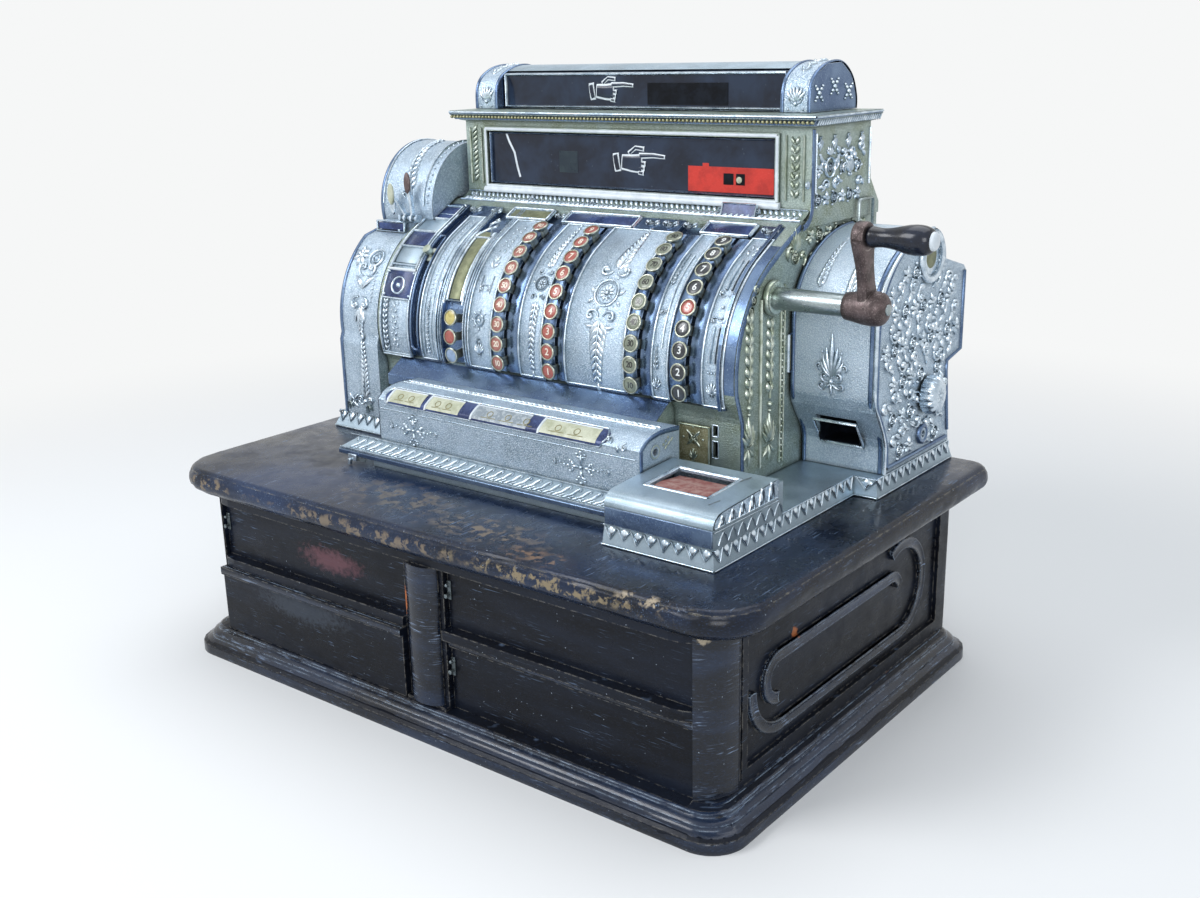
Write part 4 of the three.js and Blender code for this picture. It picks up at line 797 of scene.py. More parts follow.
def sideName(side):
    return "right" if side > 0 else "left"


def roundSurface(y, z, radius, limit=(-200.0, 200.0)):
    # u along x, v along the curve in millimetres, 0 at the front; past the limits (degrees) it
    # runs on straight
    def at(u, v, h):
        angle = v / radius
        low, high = (radians(a) for a in limit)
        bound = min(max(angle, low), high)
        over = (angle - bound) * radius
        out = radius + h
        return (u, y - out * cos(bound) + over * sin(bound),
                z + out * sin(bound) + over * cos(bound))
    return at


def smoothPath(points, steps=6):
    # a curve that runs through every point
    path = []
    for i in range(len(points) - 1):
        p0, p1 = points[max(0, i - 1)], points[i]
        p2, p3 = points[i + 1], points[min(len(points) - 1, i + 2)]
        for k in range(steps):
            t = k / steps
            path.append(tuple(0.5 * (2 * b + (c - a) * t + (2 * a - 5 * b + 4 * c - d) * t * t
                + (3 * b - a - 3 * c + d) * t ** 3) for a, b, c, d in zip(p0, p1, p2, p3)))
    path.append(tuple(points[-1]))
    return path


def pathSurface(path):  # u along x, v along a path of (y, z) from its start, h out of it
    lengths = [0.0]
    for (y0, z0), (y1, z1) in zip(path, path[1:]):
        lengths.append(lengths[-1] + hypot(y1 - y0, z1 - z0))
    outs = [(a[0] - b[0], a[1] - b[1]) for a, b in zip(pushedOut(path, 1.0), path)]

    def surface(u, v, h):
        v = min(max(v, 0), lengths[-1] - 0.01)
        i = max(k for k in range(len(lengths) - 1) if lengths[k] <= v)
        t = (v - lengths[i]) / (lengths[i + 1] - lengths[i])
        y, z = (path[i][n] + (path[i + 1][n] - path[i][n]) * t + outs[i][n] * h for n in (0, 1))
        return u, y, z
    return surface


def pushedOut(path, distance):
    # a y-z path moved to its left side by a distance
    moved = []
    for i, (y, z) in enumerate(path):
        y0, z0 = path[max(0, i - 1)]
        y1, z1 = path[min(len(path) - 1, i + 1)]
        run = hypot(y1 - y0, z1 - z0) or 1
        moved.append((y - (z1 - z0) / run * distance, z + (y1 - y0) / run * distance))
    return moved


def skinAlongX(path, columns, leaveOut=None):
    # a thin sheet that follows a y-z path, with places left out for openings
    points = [(x, y, z) for y, z in path for x in columns]
    wide = len(columns)
    faces = []
    for r in range(len(path) - 1):
        for c in range(wide - 1):
            x = (columns[c] + columns[c + 1]) / 2
            y, z = (path[r][0] + path[r + 1][0]) / 2, (path[r][1] + path[r + 1][1]) / 2
            if leaveOut and leaveOut(x, y, z):
                continue
            faces.append((r * wide + c, r * wide + c + 1, (r + 1) * wide + c + 1,
                          (r + 1) * wide + c))
    return points, faces


def fillWithScrolls(work, outline, taken, pitch=21.0, scale=1.0):
    # scrolls, rosettes and star leaves in staggered rows inside an outline, clear of the
    # circles in taken
    def inside(u, v):
        hit = False
        for (u0, v0), (u1, v1) in zip(outline, outline[1:] + outline[:1]):
            if (v0 > v) != (v1 > v) and u < (u1 - u0) * (v - v0) / (v1 - v0) + u0:
                hit = not hit
        return hit and all(hypot(u - a, v - b) > r for a, b, r in taken)

    left, right = min(p[0] for p in outline), max(p[0] for p in outline)
    v, row = min(p[1] for p in outline) + pitch * 0.25, 0
    while v < max(p[1] for p in outline):
        u, column = left + pitch * 0.1 + (row % 2) * pitch * 0.5, 0
        while u < right:
            if inside(u, v):
                kind = (row * 3 + column * 2) % 4
                if kind == 0:
                    work.rosette(u, v, 7.0 * scale, 8)
                    for turn in range(3):
                        a = turn * 2.1 + row
                        work.bead(u + 10 * scale * cos(a), v + 10 * scale * sin(a), 1.7 * scale,
                                  1.6)
                elif kind == 2:
                    work.bead(u, v, 2.6 * scale, 2.2)
                    for turn in range(5):
                        work.leaf(u, v, 10.5 * scale, turn * 72 + row * 20, 5.0 * scale, 2.1, 24)
                else:
                    hand = 1 if kind == 1 else -1
                    turn = 40 + 83 * column + 31 * row
                    work.scroll(u, v, 10.5 * scale, turn, hand, 4.0 * scale, 2.4, 1.4)
                    work.leaf(u, v, 12 * scale, turn + 150, 5.4 * scale, 2.2, 50 * hand)
                    work.leaf(u, v, 10 * scale, turn + 205, 4.6 * scale, 2.0, -40 * hand)
            u += pitch
            column += 1
        v += pitch * 0.88
        row += 1


# Keyboard shield: stippled strips between polished edges, with raised ornament
shieldCurve = {"y": 96, "z": 362, "radius": 127, "bend": (-14.5, 61.5)}
strips = {
    "date": (-266, -217), "bead": (-199, -172), "clerk": (-122, -85), "ab": (-45, -10),
    "broad": (21, 103), "cd": (137, 159), "right": (199, 226),
}
stripEnds = (-29.0, 168.0)


def shieldArc(radius, start, end):  # an arc round the shield's centre, in degrees
    return arcPoints(shieldCurve["y"], shieldCurve["z"], radius, start, end, 40)


def shieldAt(rise=0.0):
    return roundSurface(shieldCurve["y"], shieldCurve["z"], shieldCurve["radius"] + rise,
        shieldCurve["bend"])


def curvedSheet(x0, x1, v0, v1, low, high, steps=40):
    # a curved plate on the shield; low and high are the heights of its foot and of its top
    surface = shieldAt()
    rings = []
    section = [(x0, low), (x0, high - 0.3), (x0 + 0.3, high), (x1 - 0.3, high), (x1, high - 0.3),
               (x1, low)]
    for i in range(steps + 1):
        v = v0 + (v1 - v0) * i / steps
        rings.append([surface(u, v, h) for u, h in section])
    return loftShape(rings)


def makeStrips():
    low, high = stripEnds
    for name, (x0, x1) in strips.items():
        addPiece("strip_field_" + name, curvedSheet(x0 + 1.2, x1 - 1.2, low, high, -2, 0.45),
                 "stippledNickel", sharp=50)
        edges = Relief()
        for x in (x0 + 1.1, x1 - 1.1):
            edges.ridge(straight(x, low, 0, high - low, 48), 2.4, 1.5, sections=6)
        for v in (low, high):
            edges.ridge(straight(x0, v, x1 - x0, 0, 6), 2.2, 1.2)
        edges.place("strip_edge_" + name, shieldAt())
    rails = Relief()
    for x in (-167, -127):
        for side in (-1.9, 1.9):
            rails.ridge(straight(x + side, -29, 0, 218, 48), 1.6, 1.3)
    rails.place("shield_rails", shieldAt())


def makeShieldOrnament():
    work = Relief()
    # broad strip: a medallion between an upper and a lower spray
    middle = 66
    work.rosette(middle, 74, 15, 10)
    work.beads(middle - 17, 62, middle - 17, 86, 4, 0.8)
    for hand in (1, -1):
        work.scroll(middle + hand * 3, 48, 12, 90 - hand * 20, -hand, 3.6, 2.1, 1.25)
        work.scroll(middle + hand * 3, 100, 12, -90 + hand * 25, hand, 3.6, 2.1, 1.25)
        work.leaf(middle + hand * 15, 73, 11, 90 - hand * 75, 4.4, 1.5, hand * 50)
        work.leaf(middle + hand * 15, 66, 9, 90 - hand * 110, 4.0, 1.4, -hand * 40)
        work.leaf(middle + hand * 8, 100, 12, 90 - hand * 45, 4.2, 1.5, -hand * 50)
        work.leaf(middle + hand * 5, 38, 16, -90 + hand * 58, 4.6, 1.6, hand * 60)
        for i in range(7):
            a = radians(-70 + 23 * i)
            work.bead(middle + hand * 19 * cos(a), 74 + 19 * sin(a), 1.1)
    work.sprig(middle, 44, 68, -90, 9, 21, 48, tipShare=0.5, bar=2.4)
    work.sprig(middle + 2, 104, 60, 88, 9, 19, 44, tipShare=0.4, bar=2.4)
    # strips beside the red keys
    middle = -25
    work.rosette(middle, 76, 8.5, 8)
    for hand in (1, -1):
        work.scroll(middle + hand * 2, 60, 6, 90 - hand * 20, -hand, 1.9, 1.5, 1.2)
        work.scroll(middle + hand * 2, 90, 6, -90 + hand * 25, hand, 1.9, 1.5, 1.2)
        work.leaf(middle + hand * 9, 76, 6, 90 - hand * 80, 2.8, 1.2, hand * 40)
    work.sprig(middle, 54, 76, -90, 12, 12, 44, tipShare=0.6, bar=2.0)
    work.sprig(middle + 1, 96, 68, 90, 11, 11, 42, tipShare=0.5, bar=2.0)
    work.beads(middle - 11, 100, middle - 11, 150, 5, 0.8)
    # clerk strip: ring, crossed leaves and fine lines
    middle = -104
    work.ring(middle, 26, 6.5, 1.6, 1.4)
    work.bead(middle, 26, 2.6, 1.6)
    for turn in range(8):
        work.leaf(middle + 8 * cos(turn * eighthTurn), 26 + 8 * sin(turn * eighthTurn), 5,
                  turn * 45, 2.2, 1.2)
    work.palmette(middle, -12, 15, 90, 7, 130)
    work.palmette(middle, 4, 9, -90, 5, 120)
    for hand in (1, -1):
        work.ridge([(middle + hand * 8, 58 + i * 4) for i in range(6)], 1.4, 1.0)
        work.scroll(middle, 66, 7, 90 - hand * 60, -hand, 2.0, 1.4, 1.1)
        work.leaf(middle, 88, 12, 90 - hand * 52, 3.6, 1.4, hand * 40)
        work.leaf(middle, 96, 10, 90 - hand * 25, 3.4, 1.4, hand * 20)
    work.beads(middle - 4, 112, middle - 4, 150, 7, 1.2)
    work.leafRow(middle + 6, 110, middle + 6, 152, 9, 7, 35)
    # narrow strip and right strip
    middle = 147
    work.palmette(middle - 3, -18, 13, 90, 5, 120)
    work.sprig(middle - 3, 2, 22, 90, 4, 6.5, 42)
    work.scroll(middle - 4, 58, 5.5, 120, -1, 1.8, 1.4, 1.3)
    work.scroll(middle - 2, 64, 5.5, -60, -1, 1.8, 1.4, 1.3)
    work.ridge([(middle + 3, 24 + i * 6) for i in range(19)], 1.8, 1.2)
    work.sprig(middle - 4, 92, 40, 90, 7, 5.5, 42)
    middle = 212
    work.palmette(middle, -16, 14, 90, 7, 140)
    work.beads(middle - 4, 6, middle + 4, 6, 4, 1.5)
    for hand in (1, -1):
        work.ridge([(middle + hand * 3, 16 + i * 4) for i in range(10)], 2.2, 1.8)
        work.ridge([(middle + hand * 3, 92 + i * 4.4) for i in range(10)], 2.2, 1.8)
        work.scroll(middle + hand, 60, 6.5, 90 - hand * 40, -hand, 2.2, 1.6, 1.2)
        work.scroll(middle + hand, 86, 6.5, -90 + hand * 40, hand, 2.2, 1.6, 1.2)
        work.leaf(middle + hand * 2, 140, 10, 90 - hand * 45, 3.4, 1.4, hand * 40)
        work.leaf(middle + hand * 2, 150, 8, 90 - hand * 30, 3.0, 1.4, hand * 20)
    work.bead(middle, 73, 2.2)
    # date strip's foot and the narrow bead strip
    middle = -241.5
    for i in range(8):
        work.leaf(middle, -22 + i * 7, 6.5, 90 + (28 if i % 2 else -28), 2.8, 1.3)
        work.bead(middle + (4.5 if i % 2 else -4.5), -18 + i * 7, 1.4)
    middle = -185.5
    work.sprig(middle, -22, 60, 90, 12, 4.6, 40, tipShare=0.9)
    work.beads(middle, 44, middle, 160, 5.5, 1.3)
    for x in (middle - 6.5, middle + 6.5):
        work.ridge([(x, -24 + i * 4.7) for i in range(40)], 1.1, 0.9)
    work.place("shield_ornament", shieldAt(0.45))


makeStrips()
makeShieldOrnament()
print("keyboard strips made")

# Keys: metal cup and rim, coloured disc with its figure under a clear face, flat iron stem
keyLook = {"centre": (shieldCurve["y"], shieldCurve["z"]), "face": 139.9, "rim": 9.4,
           "disc": 7.7, "first": -7.0, "pitch": 9.1}
keyDiscs = {
    "red": ("#a9574b", "#93493f", "#e6dccb"), "pink": ("#a5675b", "#8f584e", "#e2d8c6"),
    "cream": ("#7f8775", "#6b7264", "#1b1d1c"), "black": ("#1a1e24", "#2a3038", "#e4e8e6"),
    "yellow": ("#cfc27a", "#b3a45e", "#6b5d2c"), "blue": ("#93a9c6", "#7d93ae", "#dfe8f0"),
}


def keyFinish(name, base, second):
    return makeFinish(name, {"base": base, "second": second, "patch": 6, "grain": 0.8,
        "grainAndPaintedGlintColour": second, "grainRange": (0.5, 0.7), "rough": (0.2, 0.42), "coat": 0.6,
        "coatRough": 0.12, "bumps": [(4, 0.05)]})


discFinishes = {kind: (keyFinish("disc_" + kind, base, second),
    keyFinish("figure_" + kind, ink, ink)) for kind, (base, second, ink) in keyDiscs.items()}
figureMeshes = {}


def figureMesh(text, size, finish):
    if (text, size, finish.name) not in figureMeshes:
        curve = bpy.data.curves.new("figure", "FONT")
        curve.body = text
        curve.size = size / 1000
        curve.align_x = "CENTER"
        curve.align_y = "CENTER"
        curve.extrude = 0.00012
        curve.offset = 0.00018
        curve.space_character = 0.86
        holder = bpy.data.objects.new("figure", curve)
        scene.collection.objects.link(holder)
        graph = bpy.context.evaluated_depsgraph_get()
        mesh = bpy.data.meshes.new_from_object(holder.evaluated_get(graph))
        mesh.materials.clear()
        mesh.materials.append(finish)
        bpy.data.objects.remove(holder)
        figureMeshes[(text, size, finish.name)] = mesh
    return figureMeshes[(text, size, finish.name)]


def makeKey(name, x, index, kind, text, slot):
    angle = radians(keyLook["first"] + keyLook["pitch"] * index)
    y, z = keyLook["centre"]
    out = Vector((0, -cos(angle), sin(angle)))
    face, rim, disc = keyLook["face"], keyLook["rim"], keyLook["disc"]
    centre = (x, y, z)
    cup = turnedShape([(face - 5.8, 3.2), (face - 5.7, 4.4), (face - 5.2, 6.0), (face - 4.4, 8.0),
        (face - 3.0, rim - 0.3), (face - 0.7, rim), (face - 0.1, rim - 0.5), (face, rim - 1.0),
        (face - 0.2, disc + 0.1), (face - 0.9, disc), (face - 0.95, disc - 3)], centre, out, 32)
    cap = addPiece(name + "_cup", cup, "keyMetal", name, slot, sharp=40)
    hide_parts(name)
    addPiece(name + "_disc", turnedShape([(face - 1.0, disc), (face - 0.7, disc - 0.3),
        (face - 0.62, disc * 0.5), (face - 0.6, 0.3)], centre, out, 32), discFinishes[kind][0],
             name, slot)
    # stem: a flat bar with a foot, and a crosspiece under the cup as on the real lever
    side = Vector((0, sin(angle), cos(angle)))
    stem = []
    for half, wide, outer, inner, shift in ((1.5, 5.0, face - 5, 109.2, 3.0),
            (1.8, 1.8, face - 5.6, face - 13, 3.0)):
        points = []
        for distance in (inner, outer):
            for du, dv in ((-half, -wide), (half, -wide), (half, wide), (-half, wide)):
                p = Vector(centre) + Vector((shift + du, 0, 0)) + side * dv + out * distance
                points.append(tuple(p))
        stem.append((points, boxShape(0, 1, 0, 1, 0, 1)[1]))
    addPiece(name + "_stem", joined(*stem), "keyMetal", name, slot, sharp=30, round=0.3)
    if text:
        size = 10.5 if len(text) == 1 else 9.0
        label = bpy.data.objects.new(name + "_figure",
            figureMesh(text, size, discFinishes[kind][1]))
        rotation = Matrix((Vector((1, 0, 0)), side, out)).transposed().to_4x4()
        # figures stand upright to the reader: across the row, then up along the curve
        place = (Vector(centre) + out * (face - 0.55)) / 1000
        label.matrix_world = Matrix.Translation(place) @ rotation
        scene.collection.objects.link(label)
        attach(label, name)


def makeKeys():
    rows = {"a": (-67, "pink", "red_key"), "b": (7, "red", "red_key"),
            "c": (118, "cream", "cream_key"), "d": (179, "black", "black_key")}
    for row, (x, kind, slot) in rows.items():
        for i in range(9):
            text = str((i + 1) * 10) if row in "ac" else str(i + 1)
            own = ("red", "red_key") if row == "d" and i == 4 else (kind, slot)
            makeKey(f"key_{row}{i + 1}", x, i, own[0], text, own[1])
    for i, (kind, slot) in enumerate((("blue", "blue_key"), ("red", "red_key"),
            ("yellow", "yellow_key"))):
        makeKey(f"key_clerk{i + 1}", -139, i, kind, "", slot)


makeKeys()
print("keys made")

# Wooden base: smooth mouldings over the carcass, a chipped top, side bands, drawer lips and catches
woodLook = {
    "plinth": {"halfWidth": 380, "halfDepth": 266.5, "radius": 38},
    "plinthSection": [(0, 0), (0, 9), (0.6, 11), (2.5, 12.5), (4, 14), (7, 15.5), (9.6, 17),
        (10.4, 19), (10.2, 21), (11.5, 22.6), (14, 24), (16.6, 25), (17.2, 26.6), (16.9, 28.2),
        (18.6, 29.6), (22, 30.4), (23.6, 31.4), (23.3, 32.3), (26, 32.8)],
    "slab": {"halfWidth": 389, "front": -262, "back": 272, "radius": 52, "backRadius": 22},
    "slabSection": [(11, 198), (9.6, 199), (8.6, 200.5), (7.6, 202), (5.2, 202.6), (3.4, 203.8),
        (2.0, 205.4), (0.9, 207.6), (0.2, 210.2), (0, 213), (0.1, 216), (0.7, 219), (1.7, 221.4),
        (3.0, 223.2), (3.2, 224.4), (4.2, 225.2), (5.2, 226.6), (6.6, 227.5), (9, 228)],
    "chipDepth": 1.6,
    "post": {"x": 308.5, "y": -200, "radius": 45.35},
    "band": {"width": 12, "middle": 118, "outer": 51, "inner": 21, "face": 352.4},
    "catches": [(-325.5, 162), (31.5, 162), (31.5, 78)],
}


def planRing(halfWidth, front, back, radius, backRadius, z, steps=14, along=26):
    # a rounded rectangle seen from above, with extra points on its straight sides
    corners = [(-halfWidth + radius, front + radius, radius, 180),
               (halfWidth - radius, front + radius, radius, 270),
               (halfWidth - backRadius, back - backRadius, backRadius, 0),
               (-halfWidth + backRadius, back - backRadius, backRadius, 90)]
    ring = []
    for cx, cy, r, start in corners:
        for i in range(steps + 1):
            a = radians(start + 90 * i / steps)
            ring.append((cx + r * cos(a), cy + r * sin(a), z))
        after = corners[(corners.index((cx, cy, r, start)) + 1) % 4]
        nextStart = radians(after[3])
        end = (after[0] + after[2] * cos(nextStart), after[1] + after[2] * sin(nextStart))
        last = ring[-1]
        for i in range(1, along):
            ring.append((last[0] + (end[0] - last[0]) * i / along,
                         last[1] + (end[1] - last[1]) * i / along, z))
    return ring


def ragged(x, y, z, size):
    # a repeatable uneven value between 0 and 1, for chips and dents
    return (bpyNoise.noise(Vector((x, y, z)) / size) + 1) / 2


def makeWood():
    p = woodLook["plinth"]
    rings = []
    for inset, z in woodLook["plinthSection"]:
        ring = planRing(p["halfWidth"] - inset + 0.3, -p["halfDepth"] + inset - 0.3,
            p["halfDepth"] - inset + 0.3, p["radius"] - inset / 2, p["radius"] - inset / 2,
            max(z, 0.05))
        for i, (x, y, h) in enumerate(ring):
            dent = max(0.0, ragged(x, y, z * 3, 16) - 0.62) * 6
            if y < -200 and 12 < abs(x) < 345:  # room under the lower drawers
                h = min(h, 29.9)
            ring[i] = (x - dent * (1 if x > 0 else -1) * 0.4, y + (dent if y < 0 else -dent) * 0.4,
                       h)
        rings.append(ring)
    addPiece("plinth_moulding", loftShape(rings, caps=False), "ebonisedMoulding", "register",
             "ebonised_wood", sharp=38)

    s = woodLook["slab"]
    rings = []
    for inset, z in woodLook["slabSection"]:
        ring = planRing(s["halfWidth"] - inset, s["front"] + inset, s["back"] - inset,
            s["radius"] - inset / 2, s["backRadius"] - inset / 2, z, along=44)
        for i, (x, y, h) in enumerate(ring):
            chip = max(0.0, ragged(x, y, z * 2, 11) - 0.6) * 4 * woodLook["chipDepth"]
            ring[i] = (x * (1 - chip / s["halfWidth"]), y * (1 - chip / s["back"]), h)
        rings.append(ring)
    top = addPiece("chipped_top", loftShape(rings), "ebonisedTop", "register", "ebonised_wood",
        sharp=30)
    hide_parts("wooden_top")

    # round posts at the front corners
    post = woodLook["post"]
    r = post["radius"]
    for side in (-1, 1):
        posts = []
        for z in (33.4, 60, 90, 120, 150, 175, 197.6):
            arc = [(side * (post["x"] + r * sin(radians(a))), post["y"] - r * cos(radians(a)), z)
                   for a in range(29, 91, 4)]
            posts.append(arc if side > 0 else arc[::-1])
        addPiece("corner_post_" + sideName(side), sheetShape(posts), "ebonisedMoulding", "register",
                 "ebonised_wood")
    # the middle pilaster's round face, with a fillet each side
    column = [[(22 * cos(radians(a)), -239 - 12.4 * sin(radians(a)), z) for a in range(176, 3, -8)]
              for z in (33.4, 70, 110, 150, 185.9)]
    addPiece("middle_pilaster", sheetShape(column), "ebonisedMoulding", "register", "ebonised_wood")

    b = woodLook["band"]
    half = b["width"] / 2
    section = [(-half, -2.5), (-half, 0.5), (-half + 0.5, 1.2), (-half + 1.3, 1.4),
               (-half + 2.1, 1.0), (-half + 3, 0.45), (0, 0.15), (half - 3, 0.45),
               (half - 2.1, 1.0), (half - 1.3, 1.4), (half - 0.5, 1.2), (half, 0.5), (half, -2.5)]
    outer = (arcPoints(124, b["middle"], b["outer"], 62, 270, 44)
             + arcPoints(-125, b["middle"], b["outer"], -90, 0, 18))
    inner = (arcPoints(-130, b["middle"], b["inner"], -90, 90, 26)
             + arcPoints(99, b["middle"], b["inner"], 90, 160, 12))
    for side in (-1, 1):
        for name, path in (("outer", outer), ("inner", inner)):
            rings = []
            for i, (y, z) in enumerate(path):
                y0, z0 = path[max(0, i - 1)]
                y1, z1 = path[min(len(path) - 1, i + 1)]
                run = hypot(y1 - y0, z1 - z0)
                across = (-(z1 - z0) / run, (y1 - y0) / run)
                rings.append([(side * (b["face"] + h), y + across[0] * off, z + across[1] * off)
                              for off, h in section])
            if side < 0:
                rings = [ring[::-1] for ring in rings]
            addPiece(f"side_band_{name}_{sideName(side)}", loftShape(rings), "ebonisedMoulding",
                     "register", "ebonised_wood", sharp=70)

    # rounded lips along the tops of the lower drawers
    for body, x0, x1, face in (("drawer_lower_left", -329, -29, -246),
            ("drawer_lower_right", 29, 329, -233)):
        lip = [(face + 0.2, 99.6), (face - 1.6, 99.4), (face - 3.0, 100.6), (face - 3.9, 103),
               (face - 3.9, 105.5), (face - 3.2, 107.8), (face - 1.6, 109.0), (face + 0.4, 109.3)]
        addPiece(body + "_lip", prismShape(lip, x0 + 0.2, x1 - 0.2), "ebonisedMoulding", body,
                 "ebonised_wood", sharp=50)

    # catches: a small plate with a turned pin at the wall of each opening
    for i, (x, z) in enumerate(woodLook["catches"]):
        plate = turnedShape([(0, 2.2), (0.9, 2.2), (1.2, 1.8), (4.2, 1.8), (4.8, 1.2)],
            (x, -234.3, z + 6), (0, -1, 0), 16)
        bar = boxShape(x - 2.6, x + 2.6, -234.6, -233.1, z - 10, z + 10)
        knob = turnedShape([(0, 1.5), (3, 1.5), (3.6, 2.4), (5.6, 2.4), (6.2, 1.4)],
            (x, -234.4, z - 5), (0, -1, 0), 16)
        body = ("drawer_upper_left", "drawer_upper_right", "drawer_lower_right")[i]
        addPiece(f"drawer_catch_{i + 1}", joined(bar, plate, knob), "catchMetal", body, sharp=40,
                 round=0.4)


makeWood()
print("wooden base made")

# Metal base: teeth round the skirt, the ledge's ornament band, the paper box and its lid
baseLook = {"bottom": 228.3, "top": 248, "front": -181, "left": 187, "right": 314, "step": 82,
            "stepRight": 341, "back": 264, "leftFront": -41, "leftEnd": -354, "coverLeft": -182}


def addTeeth(work, u0, u1, pitch, top, tip):
    count = max(1, round((u1 - u0) / pitch))
    step = (u1 - u0) / count
    for i in range(count):
        u = u0 + i * step
        jag = 0.8 if i % 2 else -0.6
        work.ridge([(u, top), (u + step * 0.3, tip + 5), (u + step * 0.5, tip + jag)], 1.5, 1.3,
                   taper=(1.2, 0.7))
        work.ridge([(u + step * 0.5, tip + jag), (u + step * 0.72, tip + 5.5), (u + step, top)],
                   1.5, 1.3, taper=(0.7, 1.2))
        work.leaf(u + step * 0.5, top + 1, top - tip - 1, -90, step * 0.62, 0.8)


def makeMetalBase():
    b = baseLook
    height = b["top"] - b["bottom"]
    sides = {  # point, across, outward, how far it leans in, its two ends
        "front": ((0, b["front"]), (1, 0), (0, -1), 4.5, b["left"] + 1, b["right"] - 3),
        "right": ((b["right"], 0), (0, 1), (1, 0), 4.5, b["front"] + 3, b["step"] + 2),
        "step": ((b["stepRight"], 0), (0, 1), (1, 0), 4.5, b["step"] + 3, b["back"] - 3),
        "stepFront": ((0, b["step"]), (1, 0), (0, -1), 4.5, b["right"] + 1, b["stepRight"] - 3),
        "left": ((0, b["leftFront"]), (1, 0), (0, -1), 9, b["leftEnd"] + 4, b["coverLeft"] - 1),
        "far": ((b["leftEnd"], 0), (0, -1), (-1, 0), 9, -b["back"] + 4, -b["leftFront"] - 4),
    }
    for name, (point, across, outward, run, u0, u1) in sides.items():
        surface = leaning((*point, b["bottom"]), (*across, 0), (*outward, 0), run, height)
        slope = hypot(run, height)
        work = Relief()
        addTeeth(work, u0, u1, 15.5, slope - 1.2, 7.5)
        for v in (1.0, slope - 0.6):
            work.ridge(straight(u0 - 2, v, u1 - u0 + 4, 0, 8), 1.5, 0.7)
        work.place("skirt_teeth_" + name, surface)

    # ledge before the printer: egg-and-leaf waves between two fine lines
    slope = leaning((0, -139, 244), (1, 0, 0), (0, -1, 0), 20, 13)
    work = Relief()
    x = -216
    while x < 180:
        work.ridge([(x, 3.5), (x + 4, 5.2), (x + 9, 9.5), (x + 12, 15), (x + 15.5, 18.5)], 2.6, 1.7,
                   taper=(0.5, 0.6), belly=0.6)
        work.ridge([(x + 6, 3.6), (x + 10, 5.6), (x + 13.5, 9.6)], 1.8, 1.2, taper=(0.5, 0.3),
                   belly=0.6)
        work.scroll(x + 2, 14.5, 3.4, 20, 1, 1.4, 1.2, 1.1)
        work.bead(x + 10.5, 4.0, 1.1)
        x += 13.2
    for v in (1.0, 21.5):
        work.ridge(straight(-230, v, 416, 0, 16), 1.9, 1.3)
    work.place("ledge_waves", slope)
    # the open slit with its latch at the ledge's left end
    addPiece("ledge_lip", boxShape(-231, 184, -141.2, -137.5, 238.2, 243.6), "bandWithPaintedReflection",
             round=0.8)
    latch = joined(boxShape(-212, -199, -144, -141, 233.5, 241),
        boxShape(-210, -206, -147, -143.6, 229, 236))
    addPiece("ledge_latch", latch, "reliefWithPaintedHighlight", round=0.5)
    addPiece("ledge_slit", boxShape(-206, -186, -142.2, -141.2, 234.2, 237.6), "catchMetal")

    # paper box: smooth crowned lid, tongues on its side, frame of the window and the reddish paper
    lidPath = smoothPath([(-178, 267.4), (-177.2, 271.6), (-173.5, 276.6), (-163, 280.4),
        (-115, 283.0), (-66.4, 285.2)], 8)
    lidPath = pushedOut(lidPath, 0.35)
    rows = sorted({188.2, 191, 211, 280, 308, 310.9, *(188.2 + i * 12.2 for i in range(1, 10))})
    addPiece("paper_lid_skin", skinAlongX(lidPath, rows,
        lambda x, y, z: 211 < x < 280 and -141 < y < -87), "satinNickel", "paper_box_lid")
    top = plane((0, -141, 281.6), (1, 0, 0), (0, 0.9987, 0.049), (0, -0.049, 0.9987))
    work = Relief()
    rectangleRidge(work, 209.5, 281.5, -1.5, 55.5, 4.2, 1.1, 1)
    work.place("paper_window_frame", top, "reliefWithPaintedHighlight", "paper_box_lid")
    paper = []
    for i in range(15):
        for k in range(13):
            x, y = 212 + 67 * i / 14, -140 + 52 * k / 12
            paper.append((x, y, 277.6 + 1.2 * sin(k * 0.4) + 1.2 * ragged(x, y, 0, 14)))
    faces = [(i * 13 + k, (i + 1) * 13 + k, (i + 1) * 13 + k + 1, i * 13 + k + 1) for i in range(14)
             for k in range(12)]
    addPiece("detail_paper", (paper, faces), "redPaper", sharp=80)
    slits = Relief()
    for x, y in ((285.5, 58), (293, -8)):
        slits.ridge([(x - 1.5, y - 7), (x, y), (x + 1.5, y + 7)], 1.5, 0.8)
    slits.place("paper_lid_slits", top, "catchMetal", "paper_box_lid")
    side = wall(311)
    work = Relief()
    for i in range(6):
        y = -171 + i * 17
        high = 277.0 + i * 1.6
        work.ridge([(y, 268.4), (y + 2.5, high - 4), (y + 6, high + 0.6), (y + 9, high - 1.5),
                    (y + 11, 268.6)], 1.5, 1.2)
        work.leaf(y + 6, 268, high - 270, 90, 5.5, 0.9)
    work.ridge([(-177, 268.2), (-120, 268.2), (-68, 268.2)], 1.4, 1.0)
    work.place("paper_lid_tongues", side, "reliefWithPaintedHighlight", "paper_box_lid")
    work = Relief()
    work.ridge([(-177.5, 264.5), (-120, 264.5), (-67, 264.5)], 1.2, 0.7)
    for i in range(7):
        y = -170 + i * 16
        work.ridge([(y, 251), (y + 4, 258), (y + 8, 262), (y + 12, 258), (y + 15, 251)], 1.2, 0.8)
    work.place("paper_box_side", side)
    addPiece("paper_box_band", boxShape(188.6, 310.4, -178.9, -177.4, 249, 266.2), "bandWithPaintedReflection",
             round=0.6)


makeMetalBase()
print("metal base made")

